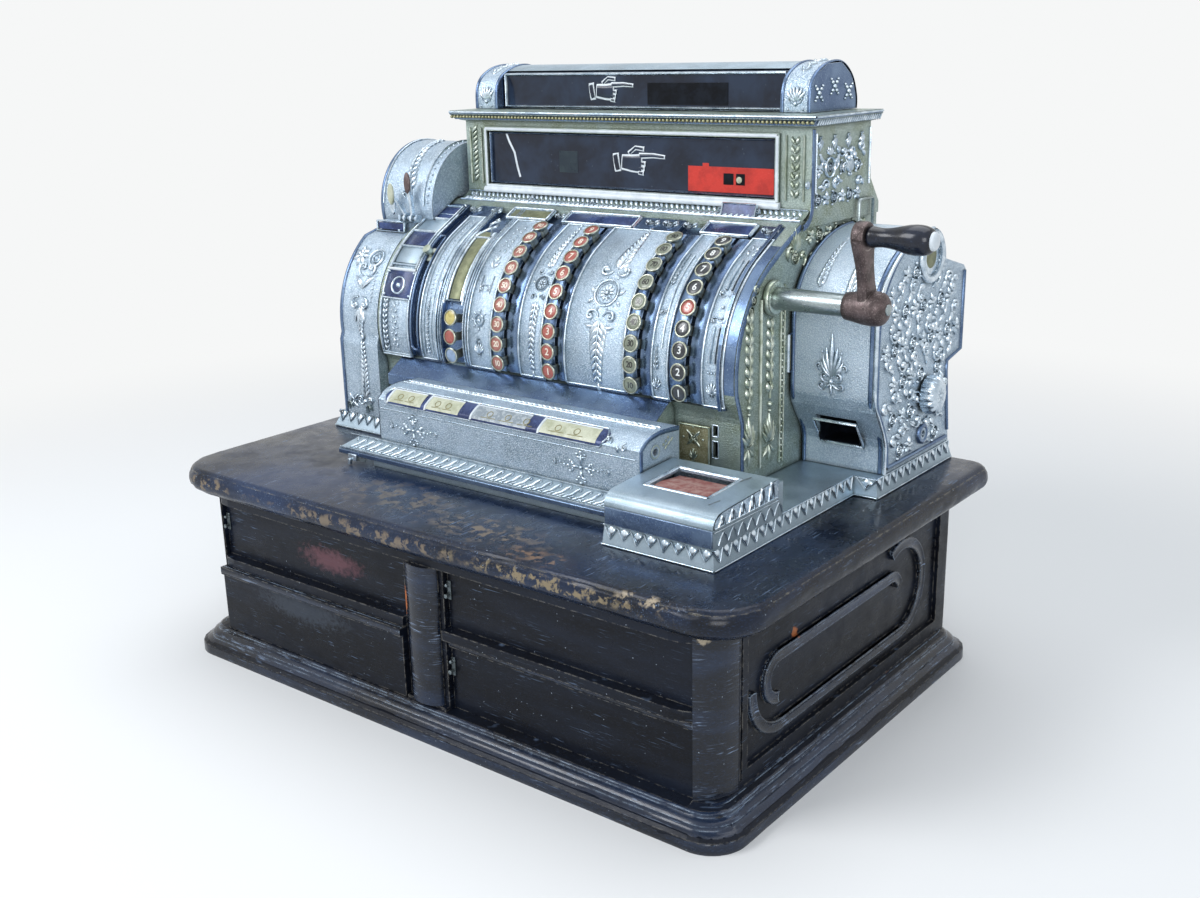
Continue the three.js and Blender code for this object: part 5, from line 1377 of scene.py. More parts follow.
# Printer cover: stippled shell, blue window band with paper labels, small flower crosses
coverLook = {"left": -182, "right": 187, "front": -118.7,
             "papers": [(-165, -114, "creamPaper"), (-106, -57, "creamPaper"),
                        (-37, 40, "greyPaper"), (58, 132, "creamPaper")]}


def makeCover():
    c = coverLook
    knots = [(c["front"], 303), (-118.4, 305), (-113.5, 309.4), (-105.6, 314.1), (-93.8, 316.4),
             (-79.4, 317), (-53.4, 315.1)]
    curve = smoothPath(knots, 8)
    shell = pushedOut([(c["front"], 248.5 + 54.5 * i / 18) for i in range(18)] + curve, 0.3)
    columns = [c["left"] + 0.2 + (c["right"] - c["left"] - 0.4) * i / 40 for i in range(41)]
    addPiece("cover_skin", skinAlongX(shell, columns), "stippledNickel")
    surface = pathSurface(shell)
    low, high = 53.5, 75.0
    # dark band with rounded ends, then the papers in it with their bright bevelled edges
    band = []
    for i in range(49):
        x = -174 + 318 * i / 48
        end = min(x + 174, 144 - x, 6) / 6
        pinch = (1 - sqrt(max(0, 1 - (1 - max(0, end)) ** 2))) * 5
        band.append([surface(x, low + pinch + (high - low - 2 * pinch) * k / 12, 0.5)
                     for k in range(13)])
    addPiece("cover_window_band", flipped(sheetShape(band)), "blueLacquer")
    rim = Relief()
    for v in (low - 0.6, high + 0.6):
        rim.ridge(straight(-168, v, 306, 0, 30), 1.6, 1.3)
    for x, side in ((-172, -1), (142, 1)):
        rim.ridge([(x - side * 4 + side * 5 * sin(pi * k / 10), low + (high - low) * k / 10)
                   for k in range(11)], 1.6, 1.3)
    rim.place("cover_window_rim", surface)
    for n, (x0, x1, finish) in enumerate(c["papers"]):
        sheet = [[surface(x0 + (x1 - x0) * i / 10, low + 2.2 + (high - low - 4.4) * k / 8, 0.9)
                  for k in range(9)] for i in range(11)]
        addPiece(f"cover_paper_{n + 1}", flipped(sheetShape(sheet)), finish)
        edge = Relief()
        lean = 3.0
        edge.ridge([(x0 - 1.2 + lean * k / 6 * 0.4, low + 1.5 + (high - low - 3) * k / 6)
                    for k in range(7)], 3.2, 1.6)
        edge.ridge([(x0, high - 1.6), ((x0 + x1) / 2, high - 1.6), (x1, high - 1.6)], 2.0, 1.1)
        edge.place(f"cover_paper_edge_{n + 1}", surface, "whiteEnamel")
        marks = Relief()
        span = (x1 - x0) / 3
        for k in range(2 + (n == 2)):
            marks.ring(x0 + span * (k + 0.9), (low + high) / 2 - 0.5, 3.6, 1.0, 0.35, 18)
            marks.ridge([(x0 + span * (k + 0.5), low + 5.2), (x0 + span * (k + 1.3), low + 5.6)],
                        0.8, 0.3)
        marks.place(f"cover_paper_print_{n + 1}", lambda u, v, h: surface(u, v, h + 0.9),
                    "faintInk")
    # ornament: a flower cross at each end of the bare plate in the middle, and a small scroll
    # by the right end
    work = Relief()
    for x in (-127, 113):
        y = 27
        work.bead(x, y, 2.6, 1.8)
        for k in range(4):
            a = k * 90
            ux, uy = cos(radians(a)), sin(radians(a))
            work.leaf(x + ux * 2.5, y + uy * 2.5, 11, a, 4.2, 1.7)
            for hand in (1, -1):
                work.leaf(x + ux * 9, y + uy * 9, 7, a + hand * 48, 3, 1.5, hand * 30)
                work.bead(x + ux * 14 - uy * hand * 5.5, y + uy * 14 + ux * hand * 5.5, 1.7)
            work.bead(x + ux * 16.5, y + uy * 16.5, 1.9)
            if k % 2 == 0:
                for reach, rise, radius in ((22, 0, 1.4), (27, 2, 1.4), (31, 0, 1.0)):
                    work.bead(x + ux * reach, y + rise, radius)
        for hand in (1, -1):
            work.scroll(x + hand * 33, y - 2, 4.5, 90 - hand * 90, hand, 1.6, 1.3, 1.1)
            work.scroll(x + hand * 33, y + 4, 4.5, 90 - hand * 90, -hand, 1.6, 1.3, 1.1)
    work.scroll(150, 58, 7, 60, 1, 2.0, 1.5, 1.3)
    work.scroll(168, 62, 6, 200, 1, 1.8, 1.4, 1.2)
    work.leaf(160, 50, 9, 90, 3.5, 1.4)
    for v in (1.5, 46.5):
        work.ridge(straight(-178, v, 360, 0, 30), 1.2, 0.8)
    # rows of fine leaves between lines along the back of the top
    for v in (96, 104):
        work.ridge(straight(-176, v, 356, 0, 30), 1.4, 0.9)
    work.leafRow(-170, 100, 172, 100, 7.5, 6, 28)
    work.place("cover_ornament", surface)
    # polished rounded ends
    for x, side in ((c["left"], -1), (c["right"], 1)):
        rings = []
        for step, inset in ((0.2, 0.0), (1.0, 0.25), (1.5, 1.0), (1.6, 2.2), (1.2, 4.5)):
            rings.append([(x + side * (step - 0.6), y, z)
                          for y, z in pushedOut(shell, 0.35 - inset)])
        end = sheetShape(rings)
        addPiece("cover_end_" + sideName(side), end if side > 0 else flipped(end), "bandWithPaintedReflection")
    work = Relief()
    work.ring(-94, 298, 6.5, 1.8, 1.2)
    for k in range(3):
        work.bead(-80 + k * 4, 302 + k * 3, 1.6)
        work.leaf(-78 + k * 5, 297 + k * 3, 6, 40, 2.6, 1.2)
    work.place("cover_key_ring", wall(c["right"] + 0.4), "tarnishedRelief", bold=0.35)


makeCover()
print("printer cover made")

# Shield skins: smooth sheets in the fields between the strips, the date strip, the slider slot
# and the clerk banner
def makeShieldSkins():
    # smooth right cheek and the cabinet's rounded front edge
    edge = pushedOut([(-19, 249), (-19, 316)] + shieldArc(127.5, -8, 61.5)[1:]
                     + [(52, 483), (72, 492.5), (92, 502)], 0.35)
    gaps = [("gap_left", -268.4, -266.2)]
    for name, x0, x1, key in (("a", -84.4, -45.6, -67), ("b", -9.4, 20.6, 7),
            ("c", 103.6, 136.4, 118), ("d", 159.6, 198.6, 179)):
        gaps += [("gap_" + name + "_left", x0, key + 0.7),
                 ("gap_" + name + "_right", key + 5.3, x1)]
    for name, x0, x1 in gaps:
        addPiece("shield_" + name, curvedSheet(x0, x1, -29, 166, -1.0, 0.35), "bandWithPaintedReflection",
                 sharp=70)
    columns = [226.3, 228, 231, 234, 236, 237.2, 237.9]
    path = [p for p in edge if p[1] > 317]
    addPiece("cheek_skin", skinAlongX(path, columns), "bandWithPaintedReflection")


def makeDateStrip():
    work = Relief()
    x0, x1 = -265, -218
    mid = (x0 + x1) / 2
    rectangleRidge(work, x0, x1, -31, 38, 2.4, 1.6, 6)
    work.ring(mid, 54, 10, 2.6, 1.5, 28)
    work.bead(mid, 54, 3.4, 1.8)
    v = -26
    while v < 34:
        for hand in (1, -1):
            work.leaf(x0 + 8, v, 7, 90 - hand * 38, 2.8, 1.3, hand * 20)
        v += 6.4
    for v in (80, 106, 132, 158, 184):
        work.ridge(straight(x0 + 3, v, 41, 0, 4), 2.6, 1.8)
    for x in (x0 + 2.5, x1 - 2.5):
        work.ridge(straight(x, 76, 0, 108, 14), 2.6, 1.8)
        for v in (42, 70, 188):
            work.bead(x, v, 2.0)
    work.place("date_ornament", shieldAt(1.2))
    line = Relief()
    line.ridge(straight(x0, 73.6, 47, 0, 6), 3.4, 2.0)
    line.place("date_line", shieldAt(1.2), "whiteEnamel")
    addPiece("date_field", curvedSheet(x0 + 1, x1 - 1, 39, 72, 0, 1.2), "blueLacquer", sharp=70)
    for n, v in enumerate((82, 108, 134, 160)):
        addPiece(f"date_window_{n + 1}", curvedSheet(x0 + 5, x1 - 5, v, v + 22, 0, 1.3),
                 "blueLacquer" if n % 2 else "satinNickel", sharp=70)


def makeSliderRim():
    work = Relief()
    low, high = -20, 127
    left, right = -213.6, -202.4
    loop = [(left, low + 4), (left, high - 4), (left + 2, high), (right - 2, high),
            (right, high - 4), (right, low + 4), (right - 2, low), (left + 2, low), (left, low + 4)]
    path = []
    for (a, b), (c, d) in zip(loop, loop[1:]):
        count = max(1, int(hypot(c - a, d - b) / 9))
        path += [(a + (c - a) * k / count, b + (d - b) * k / count) for k in range(count)]
    path.append(loop[-1])
    work.ridge(path, 2.6, 1.6)
    work.place("slider_slot_rim", shieldAt(0.6), "bandWithPaintedReflection")


def makeClerkBanner():
    work = Relief()
    mid = -147
    work.ring(mid, 154, 5.6, 2.0, 1.6, 24)
    work.ridge([(mid, 160), (mid + 3, 163), (mid, 166), (mid - 3, 163), (mid, 160)], 1.8, 1.4)
    for side in (-1, 1):
        work.ridge([(mid + side * 12, 132), (mid + side * 7, 140), (mid + side * 1.5, 148)], 2.4,
                   1.6)
        work.ridge(straight(mid + side * 14.5, 40, 0, 100, 12), 2.2, 1.5)
        work.ridge(straight(mid + side * 11, 44, 0, 96, 12), 3.2, 1.0)
        for v in (54, 68, 82, 96, 110, 124):
            work.ridge([(mid + side * 10, v), (mid + side * 10.8, v + 3), (mid + side * 10, v + 6)],
                       1.6, 1.0)
    work.ridge(straight(mid - 13, 130, 26, 0, 4), 2.2, 1.6)
    work.ridge(straight(mid - 13, 44, 26, 0, 4), 2.2, 1.6)
    work.place("clerk_banner", shieldAt(1.0))
    addPiece("clerk_banner_band", curvedSheet(mid - 8, mid + 8, 46, 140, 0, 1.2), "oliveEnamel",
             sharp=70)


makeShieldSkins()
makeDateStrip()
makeSliderRim()
makeClerkBanner()
print("shield details made")

# Cabinet: ornament of its right side, rows of leaves under the display, frames above the keys,
# cornice
caseLook = {"right": 240, "front": 109, "side": 238, "window": (-206, 198, 524, 587),
            "glass": 113.3, "cornice": (-256, 252, 95, 240, 598.2)}


def makeCabinetSide():
    side = wall(caseLook["side"])
    work = Relief()
    # two hanging stems with plumes at their feet, a divider and a beaded border
    for y, top, foot in ((-4, 424, 336), (36, 412, 332)):
        count = int((top - foot) / 11)
        for i in range(count):
            z = top - i * 11
            size = 11 - 2.5 * abs(i / count - 0.4)
            for hand in (1, -1):
                work.leaf(y + hand * 1.4, z - 8, size * 1.25, 90 - hand * 34, 6.4, 2.2, hand * 34)
            if i % 3 == 2:
                work.bead(y, z - 9, 1.9, 1.8)
        work.ridge([(y, top + 2), (y + 0.6, (top + foot) / 2), (y, foot)], 2.0, 1.4)
        work.bead(y, foot - 6, 3.4, 2.6)
        work.bead(y, foot - 13, 2.2, 2.0)
        for turn in (-62, -34, -12, 12, 34, 62):
            work.leaf(y, foot - 46, 27 - abs(turn) * 0.12, 90 + turn, 5.4, 2.3, -turn * 0.5)
        work.leaf(y, foot - 46, 31, 90, 6, 2.6)
        for hand in (1, -1):
            work.scroll(y + hand * 1.5, foot - 47, 6.5, 90 - hand * 100, hand, 2.3, 1.8, 1.1)
            work.leaf(y + hand * 2, foot - 50, 14, -90 + hand * 30, 3.6, 1.8, hand * 20)
        work.leaf(y, foot - 50, 18, -90, 4.2, 2)
    for z in (428, 438, 448):
        work.rosette(-2 + (z - 428) * 0.5, z, 4.6, 7)
    work.ridge([(17 + 0.2 * sin(k), 262 + k * 9.2) for k in range(20)], 2.4, 1.8)
    for k in range(26):
        work.bead(59.5, 262 + k * 7.0, 1.9, 1.6)
    for y in (56, 63):
        work.ridge([(y, 258 + k * 9.4) for k in range(21)], 1.5, 1.2)
    # ornament above the shaft, under the shoulder
    for y, z, size, angle in ((70, 468, 12, 150), (98, 460, 12, 30)):
        work.scroll(y, z, size, angle, 1 if angle < 100 else -1, 3, 2.2, 1.25)
        work.leaf(y, z, size * 1.3, angle - 60, 4.5, 2.1, 30)
    work.palmette(82, 476, 24, 90, 7, 130)
    work.rosette(82, 470, 6.5, 8)
    fillWithScrolls(work, [(116, 450), (110, 490), (228, 494), (228, 450)], [], 19, 0.85)
    # side of the display case: drops under the cornice, an oval ring with a fan and scrolls
    case = wall(caseLook["right"])
    work.place("cabinet_side_ornament", side, "tarnishedRelief")
    work = Relief()
    for y in (125, 155, 185, 215):
        work.palmette(y, 586, 13, -90, 5, 110)
        work.bead(y, 570, 1.8)
    work.ring(146, 556, 10, 2.2, 1.8, 26)
    work.rosette(146, 556, 5, 8)
    for hand in (1, -1):
        work.scroll(146 + hand * 12, 553, 9, 90 - hand * 80, hand, 2.4, 1.8, 1.25)
        work.leaf(146 + hand * 12, 560, 14, 90 - hand * 60, 4.4, 1.8, hand * 40)
        work.leaf(146 + hand * 6, 541, 14, -90 + hand * 32, 4, 1.8, hand * 30)
        work.scroll(190 + hand * 10, 548, 9, 90 - hand * 90, hand, 2.4, 1.8, 1.25)
    work.palmette(190, 548, 20, 90, 7, 120)
    for turn in (-50, -25, 0, 25, 50):
        work.leaf(146, 568, 10, 90 + turn, 3.2, 1.6)
    fillWithScrolls(work, [(121, 520), (121, 584), (221, 584), (224, 520)],
        [(146, 556, 20), (190, 552, 16), (125, 582, 9), (155, 582, 9), (185, 582, 9),
         (215, 582, 9)], 17, 0.8)
    for y in (116, 234):
        work.ridge([(y, 532 + k * 6.0) for k in range(11)], 2.0, 1.6)
    work.place("case_side_ornament", case)
    # polished edge of the front, with its two screws
    foot = [(-18.2, 251 + 16 * k) for k in range(5)] + shieldArc(126.2, -8, 61.5) + [(58, 486),
        (80, 497), (92, 502.5)]
    shoulder = [(93 + 16 * sin(radians(a)), 518 - 16 * cos(radians(a))) for a in range(0, 91, 9)]
    shoulder += [(109.6, 530), (109.6, 548), (109.6, 566), (109.6, 584), (109.6, 596)]
    for name, x, path in (("cabinet_front_edge", caseLook["side"], foot),
            ("case_front_edge", caseLook["right"], shoulder)):
        edge = []
        for reach, inset in ((0.15, 0.0), (0.9, 0.4), (1.3, 2.0), (1.2, 5.0), (0.2, 6.5)):
            edge.append([(x + reach, y, z) for y, z in pushedOut(path, -inset)])
        addPiece(name, sheetShape(edge), "bandWithPaintedReflection", sharp=70)
    for n, (y, z) in enumerate(((104, 541), (96, 356))):
        addPiece(f"cabinet_screw_{n + 1}", turnedShape([(0, 4.2), (1.6, 4.0), (2.4, 3.0),
            (2.7, 0.2)], (238.2, y, z), Vector((1, 0, 0)), 20), "reliefWithPaintedHighlight", sharp=40)
    # small window let into the smooth band
    recess = Relief()
    rectangleRidge(recess, 72, 94, 352, 392, 3.0, 1.6, 4)
    recess.place("cabinet_window_frame", side)
    addPiece("cabinet_window", boxShape(237.8, 238.6, 73, 93, 353, 391), "creamPaper", round=0.2)


def makeApron():
    # smooth apron under the keys, dark blue by painted reflection, the tarnished lock plate with
    # its small flower
    path = [(-52.9, 301), (-52.9, 307), (-52.9, 312.4), (-52.3, 313.5), (-51.0, 314.5),
            (-39, 322.5), (-27.0, 330.1)]
    addPiece("apron_skin", skinAlongX(path, [-235.4 + 392.8 * k / 20 for k in range(21)]),
             "bandWithPaintedReflection")
    face = front(-19.2)
    addPiece("lock_plate", boxShape(164.4, 202.6, -21.6, -20.9, 267.4, 308.6), "yellowedNickel",
             round=0.5)
    work = Relief()
    work.rosette(183, 294, 5.4, 7)
    for turn in range(4):
        work.leaf(183, 294, 12, 45 + turn * 90, 3.6, 1.2)
        work.bead(183 + 12 * cos(turn * quarterTurn), 294 + 12 * sin(turn * quarterTurn), 1.5)
    work.palmette(183, 272, 12, 90, 5, 120)
    rectangleRidge(work, 165, 202, 268.5, 307.5, 1.8, 0.9, 5)
    work.place("lock_plate_flower", front(-21.6), "tarnishedRelief", bold=1.0)
    marks = Relief()
    rectangleRidge(marks, 205, 212, 276, 294, 1.6, 0.8, 3)
    rectangleRidge(marks, 205, 212, 299, 311, 1.6, 0.8, 3)
    marks.place("lock_slot_frames", face, bold=1.0)


leafBand = {"y": 80, "z": 545, "radius": 41.5, "start": 15.4, "length": 20.9, "pitch": 7.0}


def makeLeafRows():
    # hollow band between the keyboard's top and the display's frame, with two rows of leaves on it
    y, z, radius, start, length = (leafBand[k] for k in ("y", "z", "radius", "start", "length"))

    def hollow(u, v, h):
        a = radians(start) + v / radius
        return u, y + (radius - h) * sin(a), z - (radius - h) * cos(a)

    path = [hollow(0, length * k / 8, 0)[1:] for k in range(9)]
    addPiece("leaf_band", skinAlongX(path, [-241 + 480 * k / 24 for k in range(25)]),
             "tarnishedNickel")
    rows = Relief()
    x = -236
    while x < 232:
        rows.leaf(x, 2.6, 9.4, 50, 4.6, 1.5, 10)
        rows.leaf(x + 1.6, 18.4, 9.4, -48, 4.6, 1.5, -10)
        x += leafBand["pitch"]
    for x in range(-224, 236, 92):
        rows.rosette(x, 10.5, 5.0, 7)
    for v in (0.6, 19.6):
        rows.ridge(straight(-240, v, 478, 0, 24), 1.3, 1.1)
    rows.place("leaf_rows", hollow)


def makeFrames():
    # bevelled frames above the keys with their coloured fields, small ornaments between them
    for n, (x0, x1, v0, v1, finish) in enumerate(((-141, -80, 171, 190, "oliveEnamel"),
            (-55, 44, 170, 190, "blueLacquer"), (134, 194, 170, 190, "blueLacquer"))):
        work = Relief()
        rectangleRidge(work, x0, x1, v0, v1, 3.6, 2.4, 6)
        work.place(f"top_frame_{n + 1}", shieldAt(0.4))
        addPiece(f"top_field_{n + 1}", curvedSheet(x0 + 1, x1 - 1, v0 + 1, v1 - 1, 0, 0.9, 8),
                 finish)
    work = Relief()
    for x, size in ((-200, 8), (-166, 7), (-67, 6), (64, 8), (88, 9), (114, 8), (212, 9)):
        work.rosette(x, 180, size * 0.5, 7)
        for hand in (1, -1):
            work.scroll(x + hand * size * 0.7, 179, size * 0.62, 90 - hand * 80, hand, 1.8, 1.4,
                        1.1)
            work.leaf(x + hand * 2, 182, size, 90 - hand * 50, 2.6, 1.3, hand * 30)
    work.place("top_ornament", shieldAt(0.4))
    # bare label plate, dark blue with small scroll ends
    plate = plane((160, 98, 512), (1, 0, 0), (0, 0.35, 0.9367), (0, -0.9367, 0.35))
    work = Relief()
    rectangleRidge(work, -21, 21, -7, 7, 2.2, 1.6, 5)
    for hand in (1, -1):
        work.scroll(hand * 22, -2, 4.5, 90 - hand * 90, hand, 1.6, 1.3, 1.1)
        work.scroll(hand * 22, 2, 4.5, 90 - hand * 90, -hand, 1.6, 1.3, 1.1)
    work.place("label_frame", plate)
    sheet = [[plate(-20.5 + 41 * i / 8, -6.5 + 13 * k / 4, 0.6) for k in range(5)]
             for i in range(9)]
    addPiece("label_plate", flipped(sheetShape(sheet)), "blueLacquer")


def addHand(work, u, v, size, inset=0):
    # a simple pointing hand: cuff, palm, one long finger, a thumb and three folded fingers
    # as (points, width, height, taper); the inset copy is its inside, in painted shade behind glass
    q = size / 60
    strokes = [([(-27, -1), (-20, 0)], 20, 1.2, (0.9, 0.9)),
               ([(-18, 0), (-6, -1), (6, -1)], 21, 1.8, (0.7, 0.9)),
               ([(2, 6), (18, 6.5), (31, 5.5)], 6.5, 1.8, (0.9, 0.6)),
               ([(-10, 8), (-2, 13), (8, 12)], 6, 1.8, (0.7, 0.8))]
    strokes += [([(1, -0.5 - 4.2 * i), (9.5 - i, -1 - 4.2 * i)], 5.4, 2.2, (0.8, 0.9))
                for i in range(3)]
    for points, width, height, taper in strokes:
        if inset:
            (a, b), (c, d) = points[0], points[-1]
            points = [(a + inset / q, b)] + points[1:-1] + [(c - inset / q, d)]
        work.ridge([(u + a * q, v + b * q) for a, b in points], width * q - 2 * inset,
                   height + inset, taper=taper)


def makeDisplay():
    c = caseLook
    x0, x1, z0, z1 = c["window"]
    face = front(c["front"])
    work = Relief()
    rectangleRidge(work, x0 - 2.4, x1 + 2.4, z0 - 2.2, z1 + 2.4, 4.8, 2.4, 12)
    work.place("display_frame", face, "whiteEnamel")
    addPiece("display_sill", prismShape(smoothPath([(109.4, 513.5), (105.6, 514.2), (103.8, 516.5),
        (104.4, 519.4), (106.5, 521.2), (109.4, 521.8)], 4), x0 - 6, x1 + 6), "whiteEnamel")
    work = Relief()
    rectangleRidge(work, x0 + 2, x1 - 2, z0 + 2, z1 - 2, 3.0, 2.6, 12)
    work.place("display_inner_frame", front(c["glass"]), "bandWithPaintedReflection")
    # columns beside the glass: a slanted rope on the left, a chain of leaves on the right
    work = Relief()
    middle = -225.5
    for i in range(11):
        z = 526 + i * 5.8
        work.leaf(middle - 5.5, z, 12, 42, 4.2, 2.2, 14)
        if i % 2:
            work.bead(middle + 7, z + 2, 1.2)
    for x in (middle - 9, middle + 9.5):
        work.ridge([(x, 524 + k * 6.6) for k in range(11)], 1.8, 1.5)
    middle = 221
    for i in range(7):
        z = 527 + i * 9
        for hand in (1, -1):
            work.leaf(middle, z, 9.5, 90 - hand * 44, 4, 2.0, hand * 30)
        work.bead(middle, z + 1, 1.5, 1.8)
    for x in (middle - 10.5, middle + 10.5):
        work.ridge([(x, 524 + k * 6.6) for k in range(11)], 1.8, 1.5)
    work.place("case_columns", face, "tarnishedRelief")
    # behind the pane: hand, red tablet with a dark slot, knob and a dim tablet
    inside = front(c["glass"])
    work = Relief()
    addHand(work, 16, 556, 74)
    work.ridge([(-180, 584), (-176, 575), (-168, 562), (-164, 545), (-160, 533)], 3.4, 0.6)
    work.place("display_hand", inside, "whiteEnamel", bold=0.6)
    work = Relief()
    addHand(work, 16, 556, 74, inset=1.5)
    work.place("display_hand_inside", inside, "glassWithPaintedShade", "register", "glass", bold=0.6)
    tablets = (("red", 85, 197, 528, 555, "redEnamel", 0.5),
               ("red_tab", 104, 112, 555, 558.5, "redEnamel", 0.5),
               ("slot", 131, 158, 536.5, 548.5, "blackPaint", 0.8),
               ("slot_middle", 144, 147, 536.5, 548.5, "redEnamel", 1.0),
               ("dim", -98, -70, 541, 566, "dimTablet", 0.3))
    for name, a, b, low, high, finish, thick in tablets:
        addPiece("display_" + name, boxShape(a, b, c["glass"] - thick, c["glass"] + 0.2, low, high),
                 finish, round=0.15)
    addPiece("display_knob", turnedShape([(-0.4, 3.6), (1.2, 3.5), (1.9, 2.4), (2.1, 0.2)],
        (151, c["glass"], 542), Vector((0, -1, 0)), 20), "creamPaper", sharp=50)


def makeCornice():
    x0, x1, y0, y1, z0 = caseLook["cornice"]
    # smooth moulded run: bright lip, partly a painted highlight, above a cove made dark by painted
    # reflection
    section = smoothPath([(0.0, -0.3), (-0.5, 1.2), (-1.2, 2.0), (-2.8, 2.4), (-3.6, 4.4),
        (-4.8, 6.8), (-4.9, 8.4), (-4.2, 9.6), (-2.4, 10.1), (0.6, 10.2)], 3)
    corners = ((x0 + 4.6, y1 - 1, -1, 0), (x0 + 4.6, y0 + 4.6, -1, -1), (x1 - 4.6, y0 + 4.6, 1, -1),
               (x1 - 4.6, y1 - 1, 1, 0))
    rings = []
    for x, y, sx, sy in corners:
        rings.append([(x - sx * reach, y - sy * reach, z0 + 2.4 + rise) for reach, rise in section])
    addPiece("cornice_lip", sheetShape(rings), "bandWithPaintedReflection", sharp=50)
    lip = Relief()
    lip.ridge(straight(x0, 609.0, x1 - x0, 0, 24), 2.4, 0.8)
    lip.place("cornice_bright_lip", front(y0 - 0.2))
    lip = Relief()
    lip.ridge(straight(y0, 609.0, y1 - y0, 0, 12), 2.4, 0.8)
    lip.place("cornice_bright_side", wall(x1 + 0.1))
    beads = Relief()
    x = x0 + 4
    while x < x1 - 3:
        beads.bead(x, 603.6, 2.1, 1.8, 8)
        x += 5.2
    beads.place("cornice_beads", front(y0 + 0.7), "brassRelief")
    rope = Relief()
    y = y0 + 3
    while y < y1 - 6:
        rope.ridge([(y, 600.6), (y + 4.4, 605.8)], 3.2, 1.6, taper=(0.6, 0.6), belly=0.5)
        y += 4.8
    rope.place("cornice_rope", wall(x1 - 0.7))


def makeSign():
    # rounded box of the top sign: smooth caps at both ends, a pane let in between, dark with
    # painted shade
    profile = [(135, 611.5), (136, 632.9), (145.5, 648.5), (170, 659.3), (200, 660.3), (223, 646.6),
               (234, 626), (235, 611.5)]
    outline = pushedOut(smoothPath(profile, 6), 0.35)
    for name, a, b in (("left", -247, -212.6), ("right", 187.6, 222)):
        columns = [a + 2, a + 8, (a + b) / 2, b - 8, b - 2]
        addPiece("sign_cap_" + name, skinAlongX(outline, columns), "stippledNickel")
        for x in (a + 1.2, b - 1.2):
            addPiece(f"sign_edge_{name}_{'a' if x == a + 1.2 else 'b'}",
                     rollShape(outline, x, 2.2, 1.7, -0.2), "bandWithPaintedReflection", sharp=70)
        middle = (a + b) / 2
        work = Relief()
        for turn in (-60, -35, -12, 12, 35, 60):
            work.leaf(middle, 622, 16, 90 + turn, 4.2, 2.0, -turn * 0.4)
        for hand in (1, -1):
            work.scroll(middle + hand * 2, 620, 7, 90 - hand * 95, hand, 2.0, 1.7, 1.2)
            work.bead(middle + hand * 9, 614.5, 1.7)
        work.bead(middle, 620, 2.8, 2.4)
        work.place("sign_ornament_" + name, front(135.4))
        top = Relief()
        for v in range(6):
            for hand in (1, -1):
                top.leaf(middle, 150 + v * 12, 11, 90 - hand * 40, 4, 1.8, hand * 30)
            top.bead(middle, 151 + v * 12, 1.8)
        limit = {}
        for y, z in outline:
            limit.setdefault(round(y), z)

        def capTop(u, v, h):
            near = min(limit, key=lambda key: abs(key - v))
            return u, v, limit[near] + h
        top.place("sign_top_ornament_" + name, capTop)
    middlePath = [p for p in outline if p[0] >= 155 and p[1] > 620]
    addPiece("sign_back_skin", skinAlongX(middlePath, [-212.4 + 399.8 * k / 24 for k in range(25)]),
             "satinNickel")
    addPiece("sign_pane", boxShape(-211.4, 186.4, 150.5, 153.5, 612.2, 652.4), "glassWithPaintedShade",
             "register", "glass", round=0.4)
    frame = Relief()
    rectangleRidge(frame, -209.8, 184.8, 613.8, 651, 3.2, 2.2, 12)
    frame.place("sign_pane_frame", front(150.5))
    work = Relief()
    addHand(work, -50, 632, 66)
    work.place("sign_hand", front(150.4), "whiteEnamel", bold=0.6)
    work = Relief()
    addHand(work, -50, 632, 66, inset=1.4)
    work.place("sign_hand_inside", front(150.4), "glassWithPaintedShade", "register", "glass", bold=0.6)
    addPiece("sign_window", boxShape(4, 112, 149.8, 150.7, 617, 641), "blackPaint", round=0.2)
    end = Relief()
    for y in (152, 185, 216):
        z = 630 if y != 185 else 636
        end.bead(y, z, 2.6, 1.8)
        for turn in range(4):
            angle = turn * 90 + 45
            ux, uy = cos(radians(angle)), sin(radians(angle))
            end.bead(y + ux * 6, z + uy * 6, 2.0, 1.5)
            end.bead(y + ux * 10.5, z + uy * 10.5, 1.4, 1.2)
    end.place("sign_end_beads", wall(222.2))


makeCabinetSide()
makeApron()
makeLeafRows()
makeFrames()
makeDisplay()
makeCornice()
makeSign()
print("cabinet and display made")

# Left housing: round drum and swept front in satin metal, feathers, curls and the two levers
housingLook = {"left": -338, "right": -271.2, "wing": -248, "drum": (125, 496, 75.5)}


